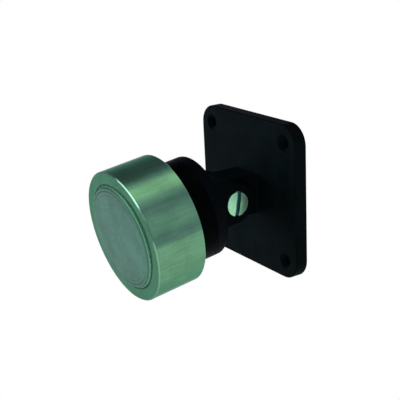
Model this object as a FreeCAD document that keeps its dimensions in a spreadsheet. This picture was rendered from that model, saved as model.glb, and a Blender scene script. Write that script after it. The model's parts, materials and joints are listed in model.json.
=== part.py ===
import FreeCAD, Part
import math
import os

import Sketcher

# Wall-mounted electromagnetic door holder with a friction hinge.
# Millimetres. X runs along the hinge screw, +Y into the wall and +Z up.
# The origin is the middle of the base plate's back face, which lies on the wall.
# The head is drawn straight out from the hinge, with the hinge axis as its own X axis,
# and is then turned about that axis by head_droop, the angle at which it hangs.

# Driving dimensions
SIZES = {
    # Base plate
    "plate_width": 65.0,
    "plate_height": 65.0,
    "plate_thick": 5.5,
    "plate_corner": 8.5,
    "plate_edge_round": 0.7,
    "plate_skin": 2.5,
    "plate_rim": 2.6,
    "rib_thick": 1.8,
    "wall_hole_spacing": 50.0,
    "wall_hole_bore": 4.0,
    "wall_hole_mouth": 6.8,
    "wall_hole_boss": 12.0,
    "countersink_angle": 90.0,
    # Lug of the base plate, which carries the hinge
    "pivot_height": 20.0,
    "lug_width": 15.0,
    "lug_radius": 8.5,
    "lug_root_round": 1.2,
    "lug_core_wall": 2.2,
    "lug_core_depth": 9.5,
    "bush_outer": 9.0,
    # Hinge screw and what it clamps
    "screw_thread": 6.0,
    "screw_length": 25.0,
    "screw_head": 10.2,
    "screw_head_high": 3.9,
    "screw_crown": 0.45,
    "screw_rim_round": 0.5,
    "slot_wide": 1.8,
    "slot_deep": 1.9,
    "slot_turn": 18.0,
    "washer_outer": 14.0,
    "washer_thick": 0.4,
    "nut_flats": 10.0,
    "nut_high": 5.0,
    "nut_chamfer_angle": 30.0,
    # Swivel fork
    "ear_thick": 4.8,
    "ear_radius": 8.5,
    "ear_edge_round": 0.6,
    "head_seat_depth": 2.7,
    "nut_seat_depth": 3.4,
    "fork_reach": 10.6,
    "fork_flange_thick": 5.1,
    "fork_edge_round": 1.0,
    "spigot_thick": 1.2,
    "fork_recess_radius": 10.0,
    "fork_recess_gap": 1.0,
    # Rear housing
    "housing_radius": 21.4,
    "housing_length": 9.8,
    "housing_wall": 2.4,
    "housing_floor": 2.0,
    "flange_screw_inset": 4.5,
    "flange_screw_angle": 52.0,
    "flange_screw_thread": 3.0,
    "flange_screw_head": 5.6,
    "flange_screw_length": 18.0,
    "flange_screw_boss": 5.0,
    "recess_long": 3.0,
    "recess_wide": 0.7,
    "recess_deep": 1.1,
    # Magnet
    "pot_radius": 27.0,
    "pot_length": 21.5,
    "pot_wall": 5.0,
    "pot_back": 6.0,
    "pot_rim_chamfer": 0.5,
    "face_gap": 0.7,
    "face_raise": 1.2,
    "face_edge_chamfer": 0.8,
    "face_inner_thick": 3.0,
    "core_below_lead": 2.2,
    "core_screw_thread": 6.0,
    "core_screw_head": 11.0,
    "core_screw_length": 16.0,
    "core_socket_flats": 4.0,
    "core_socket_deep": 2.4,
    "thread_runout": 1.0,
    "bobbin_wall": 1.2,
    "bobbin_flange": 1.3,
    "bobbin_rim_gap": 0.8,
    "winding_below_rim": 1.0,
    "resin_below_face": 0.25,
    # Connection space
    "lead_diameter": 1.3,
    "lead_spacing": 7.5,
    "lead_inset": 4.8,
    "lead_bend": 3.0,
    "lead_hole_bore": 2.4,
    "block_width": 15.0,
    "block_height": 9.0,
    "block_depth": 8.0,
    "block_edge_round": 0.6,
    "block_fence_thick": 1.0,
    "block_fence_high": 2.0,
    "clamp_width": 5.0,
    "clamp_depth": 5.0,
    "clamp_bore": 2.4,
    "clamp_screw_thread": 2.5,
    "clamp_screw_head": 3.6,
    "clamp_screw_head_high": 1.4,
    "wire_past_screw": 2.0,
    "diode_diameter": 2.7,
    "diode_length": 5.2,
    "diode_lead": 0.8,
    "diode_bend": 1.2,
    "diode_drop": 3.4,
    "grommet_bore": 3.8,
    "grommet_neck": 5.2,
    "grommet_collar": 7.4,
    "grommet_collar_high": 1.3,
    "grommet_lip_high": 0.6,
    "grommet_seat_depth": 0.6,
    # Fits and position
    "screw_running_fit": 0.1,
    "thread_fit": 0.05,
    "seat_fit": 0.1,
    "side_play": 0.1,
    "joint_gap": 0.02,
    "head_droop": 8.0,
}

doc = FreeCAD.newDocument("door_holder")
sheet = doc.addObject("Spreadsheet::Sheet", "Sizes")
for row, (alias, value) in enumerate(SIZES.items(), start=1):
    sheet.set(f"A{row}", alias)
    sheet.set(f"B{row}", str(value))
    sheet.setAlias(f"B{row}", alias)
doc.recompute()

# Largest difference between two places that count as the same
NEAR = 1e-4
FULL_TURN = 360
HEXAGON_SIDES = 6
X_AXIS = FreeCAD.Vector(1, 0, 0)
Z_AXIS = FreeCAD.Vector(0, 0, 1)


def size(name):
    """Formula for one driving dimension."""
    return f"Sizes.{name}"


# Stations along the head's axis, measured outwards from the hinge
FORK_BACK = size("fork_reach")
FORK_FRONT = f"({FORK_BACK} + {size('fork_flange_thick')})"
HOUSING_FRONT = f"({FORK_FRONT} + {size('housing_length')})"
HOUSING_FLOOR = f"({HOUSING_FRONT} - {size('housing_floor')})"
POT_BACK = HOUSING_FRONT
POT_FLOOR = f"({POT_BACK} + {size('pot_back')})"
POT_FRONT = f"({POT_BACK} + {size('pot_length')})"
FACE_BACK = f"({POT_FRONT} - {size('face_inner_thick')})"
FACE_FRONT = f"({POT_FRONT} + {size('face_raise')})"
BOBBIN_BACK = POT_FLOOR
BOBBIN_FRONT = f"({FACE_BACK} - {size('seat_fit')})"
BLOCK_BACK = f"({HOUSING_FLOOR} - {size('block_depth')})"
CLAMP_MIDDLE = f"({HOUSING_FLOOR} - {size('block_depth')} / 2)"
CLAMP_BACK = f"({CLAMP_MIDDLE} - {size('clamp_depth')} / 2)"
# The diode's wire lies in the bottom of the clamp's bore and the coil's lead on top of it
WIRE_STATION = (f"({CLAMP_MIDDLE} + {size('clamp_bore')} / 2 - {size('diode_lead')} / 2"
                f" - {size('joint_gap')})")
LEAD_STATION = (f"({WIRE_STATION} - {size('diode_lead')} / 2 - {size('lead_diameter')} / 2"
                f" - {size('joint_gap')})")

# Distances along the hinge axis
LUG_SIDE = f"({size('lug_width')} / 2)"
WASHER_IN = f"({LUG_SIDE} + {size('side_play')})"
WASHER_OUT = f"({WASHER_IN} + {size('washer_thick')})"
EAR_IN = WASHER_OUT
EAR_OUT = f"({EAR_IN} + {size('ear_thick')})"
HEAD_SEAT = f"({EAR_OUT} - {size('head_seat_depth')})"
HEAD_TOP = f"({HEAD_SEAT} + {size('screw_head_high')})"
NUT_SEAT = f"(-({EAR_OUT} - {size('nut_seat_depth')}))"
SCREW_END = f"({HEAD_SEAT} - {size('screw_length')})"

# Radii and half sizes
SCREW_RADIUS = f"({size('screw_thread')} / 2)"
SCREW_CLEAR = f"({SCREW_RADIUS} + {size('screw_running_fit')})"
POT_BORE = f"({size('pot_radius')} - {size('pot_wall')})"
CAVITY_RADIUS = f"({size('housing_radius')} - {size('housing_wall')})"
CORE_THREAD = f"({size('core_screw_thread')} / 2)"
LEAD_X = f"({size('lead_spacing')} / 2)"
# The leads come out beside the core, inside the housing
LEAD_RISE = f"({CAVITY_RADIUS} - {size('lead_inset')})"
CORE_RADIUS = f"({LEAD_RISE} - {size('core_below_lead')})"
FACE_RADIUS = f"({POT_BORE} - {size('face_gap')})"
BOBBIN_BORE = f"({CORE_RADIUS} + {size('seat_fit')})"
BOBBIN_TUBE = f"({BOBBIN_BORE} + {size('bobbin_wall')})"
BOBBIN_RIM = f"({POT_BORE} - {size('bobbin_rim_gap')})"
WINDING_RADIUS = f"({BOBBIN_RIM} - {size('winding_below_rim')})"
WINDING_BACK = f"({BOBBIN_BACK} + {size('bobbin_flange')})"
WINDING_FRONT = f"({BOBBIN_FRONT} - {size('bobbin_flange')})"
FLANGE_SCREW_CIRCLE = f"({size('housing_radius')} - {size('flange_screw_inset')})"
FLANGE_SCREW_X = f"({FLANGE_SCREW_CIRCLE} * cos({size('flange_screw_angle')}))"
FLANGE_SCREW_Z = f"({FLANGE_SCREW_CIRCLE} * sin({size('flange_screw_angle')}))"
FLANGE_SCREW_RADIUS = f"({size('flange_screw_thread')} / 2)"
FLANGE_SCREW_TIP = f"({FORK_BACK} + {size('flange_screw_length')})"
SPIGOT_FRONT = f"({FORK_FRONT} + {size('spigot_thick')})"
CORE_SCREW_TIP = f"({POT_BACK} + {size('core_screw_length')})"
GROMMET_STATION = f"(({SPIGOT_FRONT} + {HOUSING_FLOOR}) / 2)"
GROMMET_SEAT = f"({size('housing_radius')} - {size('grommet_seat_depth')})"


def number(formula):
    """Value of a formula in the sheet's names."""
    return float(sheet.evalExpression(str(formula)))


def new_body(label):
    """Body whose shape becomes one sub-part."""
    body = doc.addObject("PartDesign::Body", label)
    body.Label = label
    body.AllowCompound = True
    return body


def origin_plane(body, role):
    """One of the three planes through the body's origin."""
    return next(item for item in body.Origin.OriginFeatures if item.Role == role)


def new_sketch(body, name, role, offset="0"):
    """Sketch on an origin plane of the body, moved along the plane's normal."""
    plane = origin_plane(body, role)
    sketch = body.newObject("Sketcher::SketchObject", f"{body.Name}_{name}")
    sketch.AttachmentSupport = [(plane, "")]
    sketch.MapMode = "FlatFace"
    sketch.setExpression("AttachmentOffset.Base.z", offset)
    return sketch


def dimension(sketch, constraint, formula):
    """Dimensional constraint bound to a formula."""
    index = sketch.addConstraint(constraint)
    name = f"size_{index}"
    sketch.renameConstraint(index, name)
    sketch.setExpression(f"Constraints.{name}", formula)


def pin_point(sketch, element, end, across, up):
    """Hold one point of an element at its distances from the sketch's origin."""
    x_pin = Sketcher.Constraint("DistanceX", -1, 1, element, end, number(across))
    y_pin = Sketcher.Constraint("DistanceY", -1, 1, element, end, number(up))
    dimension(sketch, x_pin, across)
    dimension(sketch, y_pin, up)


def outline(sketch, points):
    """Closed outline of straight lines through points given as pairs of formulas."""
    places = [FreeCAD.Vector(number(x), number(y), 0) for x, y in points]
    first = sketch.GeometryCount
    count = len(points)
    for i in range(count):
        sketch.addGeometry(Part.LineSegment(places[i], places[(i + 1) % count]))
    for i in range(count):
        following = first + (i + 1) % count
        sketch.addConstraint(Sketcher.Constraint("Coincident", first + i, 2, following, 1))
    for i, (x, y) in enumerate(points):
        pin_point(sketch, first + i, 1, x, y)


def rectangle(sketch, left, bottom, right, top):
    """Closed rectangle between four formulas."""
    outline(sketch, [(left, bottom), (right, bottom), (right, top), (left, top)])


def middle_rectangle(sketch, width, height, across="0", up="0"):
    """Closed rectangle about a middle point."""
    half_width = f"({width}) / 2"
    half_height = f"({height}) / 2"
    rectangle(sketch, f"{across} - {half_width}", f"{up} - {half_height}",
              f"{across} + {half_width}", f"{up} + {half_height}")


def circle(sketch, radius, across="0", up="0"):
    """Circle about a middle point."""
    middle = FreeCAD.Vector(number(across), number(up), 0)
    element = sketch.addGeometry(Part.Circle(middle, Z_AXIS, number(radius)))
    pin_point(sketch, element, 3, across, up)
    dimension(sketch, Sketcher.Constraint("Radius", element, number(radius)), radius)


def corner_circles(sketch, radius, across, up):
    """Four equal circles, one in each corner of a rectangle about the origin."""
    for x_sign in ("", "-"):
        for y_sign in ("", "-"):
            circle(sketch, radius, f"{x_sign}{across}", f"{y_sign}{up}")


def rounded_tongue(sketch, radius, root):
    """Tongue with a round end about the sketch's origin and straight sides to its root."""
    radius_now = number(radius)
    root_now = number(root)
    towards_plus = root_now > 0
    first_angle = math.pi / 2 if towards_plus else -math.pi / 2
    whole = Part.Circle(FreeCAD.Vector(), Z_AXIS, radius_now)
    arc = sketch.addGeometry(Part.ArcOfCircle(whole, first_angle, first_angle + math.pi))
    corners = [FreeCAD.Vector(x, y, 0) for x, y in (
        (0, radius_now), (root_now, radius_now), (root_now, -radius_now), (0, -radius_now))]
    for start, end in zip(corners, corners[1:]):
        sketch.addGeometry(Part.LineSegment(start, end))
    top, side, bottom = arc + 1, arc + 2, arc + 3
    arc_top, arc_bottom = (1, 2) if towards_plus else (2, 1)
    for constraint in (
            ("Coincident", arc, 3, -1, 1), ("Coincident", arc, arc_top, top, 1),
            ("Coincident", top, 2, side, 1), ("Coincident", side, 2, bottom, 1),
            ("Coincident", bottom, 2, arc, arc_bottom), ("PointOnObject", arc, arc_top, -2),
            ("PointOnObject", arc, arc_bottom, -2), ("Horizontal", top), ("Vertical", side),
            ("Horizontal", bottom)):
        sketch.addConstraint(Sketcher.Constraint(*constraint))
    dimension(sketch, Sketcher.Constraint("DistanceX", -1, 1, top, 2, root_now), root)
    dimension(sketch, Sketcher.Constraint("Radius", arc, radius_now), radius)


def corner_distance(half_flats):
    """Distance from a hexagon's middle to its corners."""
    return f"({half_flats} / cos({FULL_TURN / 2 / HEXAGON_SIDES}))"


def hexagon(sketch, half_flats):
    """Closed hexagon about the sketch's origin, with two flats upright."""
    corner = corner_distance(half_flats)
    half_corner = f"({corner} / 2)"
    outline(sketch, [
        (half_flats, f"-{half_corner}"), (half_flats, half_corner), ("0", corner),
        (f"-{half_flats}", half_corner), (f"-{half_flats}", f"-{half_corner}"),
        ("0", f"-{corner}")])


def pad(body, sketch, length, middle=False, backwards=False):
    """Pad of a sketch."""
    feature = body.newObject("PartDesign::Pad", f"{sketch.Name}_pad")
    feature.Profile = sketch
    feature.Midplane = middle
    feature.Reversed = backwards
    feature.setExpression("Length", length)
    doc.recompute()
    return feature


def pocket(body, sketch, depth=None, middle=False, backwards=False):
    """Pocket of a sketch, right through where no depth is given. It has to take material away."""
    volume_before = body.Shape.Volume
    feature = body.newObject("PartDesign::Pocket", f"{sketch.Name}_pocket")
    feature.Profile = sketch
    feature.Midplane = middle
    feature.Reversed = backwards
    if depth is None:
        feature.Type = "ThroughAll"
    else:
        feature.setExpression("Length", depth)
    doc.recompute()
    if body.Shape.Volume >= volume_before:
        raise ValueError(f"{feature.Name} takes nothing away")
    return feature


def turn(body, sketch, axis="V_Axis"):
    """Full revolution of a sketch about one of its own axes."""
    feature = body.newObject("PartDesign::Revolution", f"{sketch.Name}_turned")
    feature.Profile = sketch
    feature.ReferenceAxis = (sketch, [axis])
    feature.Angle = FULL_TURN
    doc.recompute()
    return feature


def edges_where(shape, test):
    """Names of the edges of a shape that pass a test."""
    return [f"Edge{i}" for i, edge in enumerate(shape.Edges, start=1) if test(edge)]


def round_edges(body, base, test, radius):
    """Fillet on the edges of a feature that pass a test."""
    feature = body.newObject("PartDesign::Fillet", f"{base.Name}_round")
    feature.Base = (base, edges_where(base.Shape, test))
    feature.setExpression("Radius", radius)
    doc.recompute()
    return feature


def lies_at(axis, value):
    """Test for edges that lie wholly in one plane across an axis."""
    def test(edge):
        box = edge.BoundBox
        low = getattr(box, f"{axis}Min")
        high = getattr(box, f"{axis}Max")
        return abs(low - value) < NEAR and abs(high - value) < NEAR
    return test


def repeat_across(body, features):
    """Mirror features in the middle plane, so that both sides have them."""
    mirror = body.newObject("PartDesign::Mirrored", f"{body.Name}_pair")
    mirror.Originals = features
    mirror.MirrorPlane = (origin_plane(body, "YZ_Plane"), [""])
    body.Tip = mirror
    doc.recompute()
    return mirror


def repeat_in_corners(body, features):
    """Mirror features in both upright middle planes, so that each corner has them."""
    many = body.newObject("PartDesign::MultiTransform", f"{body.Name}_corners")
    many.Originals = features
    mirrors = []
    for role in ("YZ_Plane", "XY_Plane"):
        mirror = body.newObject("PartDesign::Mirrored", f"{body.Name}_{role}_mirror")
        mirror.MirrorPlane = (origin_plane(body, role), [""])
        mirrors.append(mirror)
    many.Transformations = mirrors
    body.Tip = many
    doc.recompute()


def bent_path(sketch, start, bend_start, bend_end, end, radius):
    """Open path of two straight runs at right angles, joined by a bend."""
    corners = (start, bend_start, bend_end, end)
    places = [FreeCAD.Vector(number(x), number(y), 0) for x, y in corners]
    run_in = (places[1] - places[0]).normalize()
    run_out = (places[3] - places[2]).normalize()
    middle = places[1] + run_out * number(radius)
    half_way = middle + (run_in - run_out).normalize() * number(radius)
    first = sketch.addGeometry(Part.LineSegment(places[0], places[1]))
    bend = sketch.addGeometry(Part.Arc(places[1], half_way, places[2]))
    last = sketch.addGeometry(Part.LineSegment(places[2], places[3]))
    # An arc runs anticlockwise, so its first end may be either end of the bend
    turns_left = run_in.cross(run_out).z > 0
    bend_in, bend_out = (1, 2) if turns_left else (2, 1)
    sketch.addConstraint(Sketcher.Constraint("Coincident", first, 2, bend, bend_in))
    sketch.addConstraint(Sketcher.Constraint("Coincident", bend, bend_out, last, 1))
    for element, side, (across, up) in zip((first, first, last, last), (1, 2, 1, 2), corners):
        pin_point(sketch, element, side, across, up)
    dimension(sketch, Sketcher.Constraint("Radius", bend, number(radius)), radius)


def sweep(body, section, path):
    """Sweep of a section along a path."""
    feature = body.newObject("PartDesign::AdditivePipe", f"{section.Name}_swept")
    feature.Profile = section
    feature.Spine = path
    doc.recompute()
    return feature


def hang_on_hinge(part):
    """Put a piece of the head at the hinge, turned by the angle at which the head hangs."""
    hanging = FreeCAD.Rotation(X_AXIS, number(size("head_droop")))
    part.Placement = FreeCAD.Placement(FreeCAD.Vector(), hanging)
    part.setExpression("Placement.Base.y", f"-{size('pivot_height')}")
    part.setExpression("Placement.Rotation.Angle", size("head_droop"))


# Base plate with its hinge lug, moulded in one piece
def make_base_plate():
    """Square plate, ribbed behind, with four countersunk holes and the hinge lug."""
    body = new_body("base_plate")
    half_width = f"{size('plate_width')} / 2"
    half_height = f"{size('plate_height')} / 2"
    plate = new_sketch(body, "plate", "XZ_Plane")
    rectangle(plate, f"-{half_width}", f"-{half_height}", half_width, half_height)
    slab = pad(body, plate, size("plate_thick"))

    upright = number(size("plate_thick"))
    corners = round_edges(
        body, slab, lambda edge: abs(edge.BoundBox.YLength - upright) < NEAR, size("plate_corner"))
    front = -number(size("plate_thick"))
    round_edges(body, corners, lies_at("Y", front), size("plate_edge_round"))

    # Lug, padded to both sides of the middle
    lug = new_sketch(body, "lug", "YZ_Plane")
    lug.setExpression("AttachmentOffset.Base.x", f"-{size('pivot_height')}")
    rounded_tongue(lug, size("lug_radius"), f"({size('pivot_height')} - {size('plate_thick')} / 2)")
    block = pad(body, lug, size("lug_width"), middle=True)

    reach = max(number(size("lug_width")), 2 * number(size("lug_radius"))) / 2 + NEAR
    in_front = lies_at("Y", front)
    round_edges(
        body, block,
        lambda edge: in_front(edge) and edge.BoundBox.XMax < reach and edge.BoundBox.XMin > -reach
        and edge.BoundBox.ZMax < reach and edge.BoundBox.ZMin > -reach,
        size("lug_root_round"))

    # Hollow back with ribs and screw bosses
    hollow_depth = f"({size('plate_thick')} - {size('plate_skin')})"
    hollow = new_sketch(body, "hollow", "XZ_Plane")
    inner_x = f"({half_width} - {size('plate_rim')})"
    inner_z = f"({half_height} - {size('plate_rim')})"
    inset = f"({size('plate_corner')} - {size('plate_rim')})"
    outline(hollow, [
        (f"-{inner_x} + {inset}", f"-{inner_z}"), (f"{inner_x} - {inset}", f"-{inner_z}"),
        (inner_x, f"-{inner_z} + {inset}"), (inner_x, f"{inner_z} - {inset}"),
        (f"{inner_x} - {inset}", inner_z), (f"-{inner_x} + {inset}", inner_z),
        (f"-{inner_x}", f"{inner_z} - {inset}"), (f"-{inner_x}", f"-{inner_z} + {inset}")])
    pocket(body, hollow, hollow_depth, backwards=True)

    ribs = new_sketch(body, "ribs", "XZ_Plane")
    rib_x = f"({half_width} - {size('plate_rim')} / 2)"
    rib_z = f"({half_height} - {size('plate_rim')} / 2)"
    half_rib = f"({size('rib_thick')} / 2)"
    lug_x = f"({size('lug_width')} / 2)"
    lug_z = size("lug_radius")
    outline(ribs, [
        (f"-{rib_x}", f"-{half_rib}"), (f"-{lug_x}", f"-{half_rib}"), (f"-{lug_x}", f"-{lug_z}"),
        (f"-{half_rib}", f"-{lug_z}"), (f"-{half_rib}", f"-{rib_z}"), (half_rib, f"-{rib_z}"),
        (half_rib, f"-{lug_z}"), (lug_x, f"-{lug_z}"), (lug_x, f"-{half_rib}"),
        (rib_x, f"-{half_rib}"), (rib_x, half_rib), (lug_x, half_rib), (lug_x, lug_z),
        (half_rib, lug_z), (half_rib, rib_z), (f"-{half_rib}", rib_z), (f"-{half_rib}", lug_z),
        (f"-{lug_x}", lug_z), (f"-{lug_x}", half_rib), (f"-{rib_x}", half_rib)])
    pad(body, ribs, hollow_depth)

    bosses = new_sketch(body, "bosses", "XZ_Plane")
    hole_place = f"({size('wall_hole_spacing')} / 2)"
    corner_circles(bosses, f"({size('wall_hole_boss')} / 2)", hole_place, hole_place)
    pad(body, bosses, hollow_depth)

    # Two coring pockets up into the lug, either side of a middle web
    coring = new_sketch(body, "coring", "XZ_Plane")
    web = f"({size('rib_thick')} / 2)"
    core_x = f"({lug_x} - {size('lug_core_wall')})"
    core_z = f"({lug_z} - {size('lug_core_wall')})"
    rectangle(coring, web, f"-{core_z}", core_x, core_z)
    rectangle(coring, f"-{core_x}", f"-{core_z}", f"-{web}", core_z)
    pocket(body, coring, size("lug_core_depth"), backwards=True)

    # Bore for the bush
    bore = new_sketch(body, "bore", "YZ_Plane")
    circle(bore, f"({size('bush_outer')} / 2)", f"-{size('pivot_height')}")
    pocket(body, bore, middle=True)

    # Countersunk holes for the wall screws, cut from the front
    holes = new_sketch(body, "holes", "XZ_Plane", size("plate_thick"))
    corner_circles(holes, f"({size('wall_hole_bore')} / 2)", hole_place, hole_place)
    doc.recompute()
    drilled = body.newObject("PartDesign::Hole", "base_plate_wall_holes")
    drilled.Profile = holes
    doc.recompute()
    drilled.Threaded = False
    drilled.DepthType = "ThroughAll"
    drilled.setExpression("Diameter", size("wall_hole_bore"))
    drilled.HoleCutType = "Countersink"
    drilled.HoleCutCustomValues = True
    drilled.setExpression("HoleCutDiameter", size("wall_hole_mouth"))
    drilled.setExpression("HoleCutCountersinkAngle", size("countersink_angle"))
    doc.recompute()
    return body


# Turned ring about the hinge axis
def make_hinge_ring(label, outer, inner, start, end):
    """Plain ring about the hinge axis between two stations along X."""
    body = new_body(label)
    profile = new_sketch(body, "profile", "XY_Plane")
    rectangle(profile, start, inner, end, outer)
    turn(body, profile, "H_Axis")
    return body


def make_pivot_bush():
    """Brass bush moulded into the lug, in which the hinge screw turns."""
    body = make_hinge_ring("pivot_bush", f"({size('bush_outer')} / 2)", SCREW_CLEAR,
                           f"-{LUG_SIDE}", LUG_SIDE)
    body.setExpression("Placement.Base.y", f"-{size('pivot_height')}")
    return body


def make_friction_washers():
    """Two thin plastic washers, one each side of the lug."""
    outer = f"({size('washer_outer')} / 2)"
    right = make_hinge_ring("friction_washer_right", outer, SCREW_CLEAR, WASHER_IN, WASHER_OUT)
    left = make_hinge_ring("friction_washer_left", outer, SCREW_CLEAR,
                           f"-{WASHER_OUT}", f"-{WASHER_IN}")
    hang_on_hinge(right)
    hang_on_hinge(left)
    return [right, left]


def make_pivot_screw():
    """Slotted screw with a low crowned head, along the hinge axis."""
    body = new_body("pivot_screw")
    head_radius = f"({size('screw_head')} / 2)"
    flat_top = f"({HEAD_TOP} - {size('screw_crown')})"
    rim = size("screw_rim_round")
    profile = new_sketch(body, "profile", "XY_Plane")
    outline(profile, [
        (SCREW_END, "0"), (SCREW_END, f"{SCREW_RADIUS} - {rim}"),
        (f"{SCREW_END} + {rim}", SCREW_RADIUS), (HEAD_SEAT, SCREW_RADIUS),
        (HEAD_SEAT, head_radius), (flat_top, head_radius), (flat_top, "0")])
    shank = turn(body, profile, "H_Axis")
    # Crown: a low cap of a ball over the head
    crown = new_sketch(body, "crown", "XY_Plane")
    crown_high = number(size("screw_crown"))
    crown_wide = number(head_radius) - number(rim)
    base_x = number(flat_top)
    ball = (crown_wide ** 2 + crown_high ** 2) / (2 * crown_high)
    ball_formula = (f"(({head_radius} - {rim})^2 + {size('screw_crown')}^2)"
                    f" / (2 * {size('screw_crown')})")
    middle = FreeCAD.Vector(base_x + crown_high - ball, 0, 0)
    angle = math.asin(crown_wide / ball)
    arc = crown.addGeometry(
        Part.ArcOfCircle(Part.Circle(middle, Z_AXIS, ball), 0, angle))
    foot = FreeCAD.Vector(base_x, 0, 0)
    rim_point = FreeCAD.Vector(base_x, crown_wide, 0)
    crown.addGeometry(Part.LineSegment(rim_point, foot))
    crown.addGeometry(Part.LineSegment(foot, FreeCAD.Vector(base_x + crown_high, 0, 0)))
    crown.addConstraint(Sketcher.Constraint("Coincident", arc, 2, arc + 1, 1))
    crown.addConstraint(Sketcher.Constraint("Coincident", arc + 1, 2, arc + 2, 1))
    crown.addConstraint(Sketcher.Constraint("Coincident", arc + 2, 2, arc, 1))
    crown.addConstraint(Sketcher.Constraint("PointOnObject", arc, 3, -1))
    pin_point(crown, arc + 1, 1, flat_top, f"{head_radius} - {rim}")
    pin_point(crown, arc + 2, 1, flat_top, "0")
    crown.addConstraint(Sketcher.Constraint("PointOnObject", arc, 1, -1))
    dimension(crown, Sketcher.Constraint("Radius", arc, ball), ball_formula)
    turn(body, crown, "H_Axis")
    # Slot across the head
    slot = new_sketch(body, "slot", "YZ_Plane", HEAD_TOP)
    leaning = FreeCAD.Rotation(Z_AXIS, -number(size("slot_turn")))
    slot.AttachmentOffset = FreeCAD.Placement(slot.AttachmentOffset.Base, leaning)
    slot.setExpression("AttachmentOffset.Rotation.Angle", f"-{size('slot_turn')}")
    middle_rectangle(slot, size("slot_wide"), f"2 * {size('screw_head')}")
    pocket(body, slot, size("slot_deep"))
    hang_on_hinge(body)
    return body


def make_pivot_nut():
    """Hexagon nut in the pocket of the left ear, with both ends chamfered."""
    half_flats = f"({size('nut_flats')} / 2)"
    corner_radius = corner_distance(half_flats)
    bar = doc.addObject("Part::Prism", "nut_bar")
    bar.Polygon = HEXAGON_SIDES
    bar.setExpression("Circumradius", corner_radius)
    bar.setExpression("Height", size("nut_high"))
    # Turned blank that takes the corners off both ends
    blank = doc.addObject("Part::Cylinder", "nut_blank")
    blank.setExpression("Radius", corner_radius)
    blank.setExpression("Height", size("nut_high"))
    doc.recompute()
    turned = doc.addObject("Part::Chamfer", "nut_turned")
    turned.Base = blank
    corner_depth = number(f"{corner_radius} - {half_flats}")
    corner_high = number(f"({corner_radius} - {half_flats}) * tan({size('nut_chamfer_angle')})")
    rims = [i for i, edge in enumerate(blank.Shape.Edges, start=1)
            if edge.Closed and edge.BoundBox.ZLength < NEAR]
    turned.Edges = [(i, corner_high, corner_depth) for i in rims]
    outside = doc.addObject("Part::Common", "nut_outside")
    outside.Base = bar
    outside.Tool = turned
    thread = doc.addObject("Part::Cylinder", "nut_thread")
    thread.setExpression("Radius", f"{SCREW_RADIUS} + {size('thread_fit')}")
    thread.setExpression("Height", size("nut_high"))
    upright = doc.addObject("Part::Cut", "nut_upright")
    upright.Base = outside
    upright.Tool = thread
    # Laid along -X, from the pocket's floor outwards
    upright.Placement = FreeCAD.Placement(FreeCAD.Vector(), FreeCAD.Rotation(Z_AXIS, -X_AXIS))
    upright.setExpression("Placement.Base.x", NUT_SEAT)
    nut = doc.addObject("Part::Compound", "pivot_nut")
    nut.Label = "pivot_nut"
    nut.Links = [upright]
    hang_on_hinge(nut)
    doc.recompute()
    return nut


# Swivel fork: flange and two ears, moulded in one piece
def make_swivel_fork():
    """Round flange with two ears that clasp the lug of the base plate."""
    body = new_body("swivel_fork")
    disc = new_sketch(body, "disc", "XZ_Plane", FORK_BACK)
    circle(disc, size("housing_radius"))
    flange = pad(body, disc, size("fork_flange_thick"))
    back = -number(FORK_BACK)
    round_edges(body, flange, lies_at("Y", back), size("fork_edge_round"))

    # Spigot that centres the rear housing
    spigot = new_sketch(body, "spigot", "XZ_Plane", FORK_FRONT)
    circle(spigot, f"({CAVITY_RADIUS} - {size('seat_fit')})")
    pad(body, spigot, size("spigot_thick"))

    # Recess in front of the terminal block, so that its screws stay clear
    recess = new_sketch(body, "recess", "XZ_Plane", SPIGOT_FRONT)
    circle(recess, size("fork_recess_radius"))
    pocket(body, recess, f"({SPIGOT_FRONT} - {BLOCK_BACK} + {size('fork_recess_gap')})")

    ear = new_sketch(body, "ear", "YZ_Plane", EAR_IN)
    rounded_tongue(ear, size("ear_radius"), f"-({FORK_BACK} + {size('fork_edge_round')})")
    right = pad(body, ear, size("ear_thick"))
    pair = repeat_across(body, [right])

    outer = number(EAR_OUT)
    inner = number(EAR_IN)

    def ear_rim(edge):
        """Outer edges of both ears."""
        box = edge.BoundBox
        flat = box.XLength < NEAR
        outside = abs(abs(box.XMin) - outer) < NEAR
        return flat and outside and box.YMax > back + NEAR
    rounded = round_edges(body, pair, ear_rim, size("ear_edge_round"))
    body.Tip = rounded

    # Screw bore through both ears, seat for the head and pocket for the nut
    bore = new_sketch(body, "bore", "YZ_Plane")
    circle(bore, SCREW_CLEAR)
    pocket(body, bore, middle=True)
    seat = new_sketch(body, "seat", "YZ_Plane", EAR_OUT)
    circle(seat, f"({size('screw_head')} / 2 + {size('seat_fit')})")
    pocket(body, seat, size("head_seat_depth"))
    nut_pocket = new_sketch(body, "nut_pocket", "YZ_Plane", f"-{EAR_OUT}")
    hexagon(nut_pocket, f"({size('nut_flats')} / 2 + {size('seat_fit')})")
    pocket(body, nut_pocket, size("nut_seat_depth"), backwards=True)

    # Countersunk holes for the four flange screws, cut from the hinge side
    holes = new_sketch(body, "flange_holes", "XZ_Plane", SPIGOT_FRONT)
    corner_circles(holes, f"({FLANGE_SCREW_RADIUS} + {size('seat_fit')})",
                   FLANGE_SCREW_X, FLANGE_SCREW_Z)
    pocket(body, holes)
    sinks = new_sketch(body, "flange_sinks", "XZ_Plane", FORK_BACK)
    corner_circles(sinks, f"({size('flange_screw_head')} / 2 + {size('seat_fit')})",
                   FLANGE_SCREW_X, FLANGE_SCREW_Z)
    cones = pocket(body, sinks, f"({size('flange_screw_head')} / 2 - {FLANGE_SCREW_RADIUS})",
                   backwards=True)
    cones.setExpression("TaperAngle", f"-{size('countersink_angle')} / 2")
    doc.recompute()
    hang_on_hinge(body)
    return body


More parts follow.
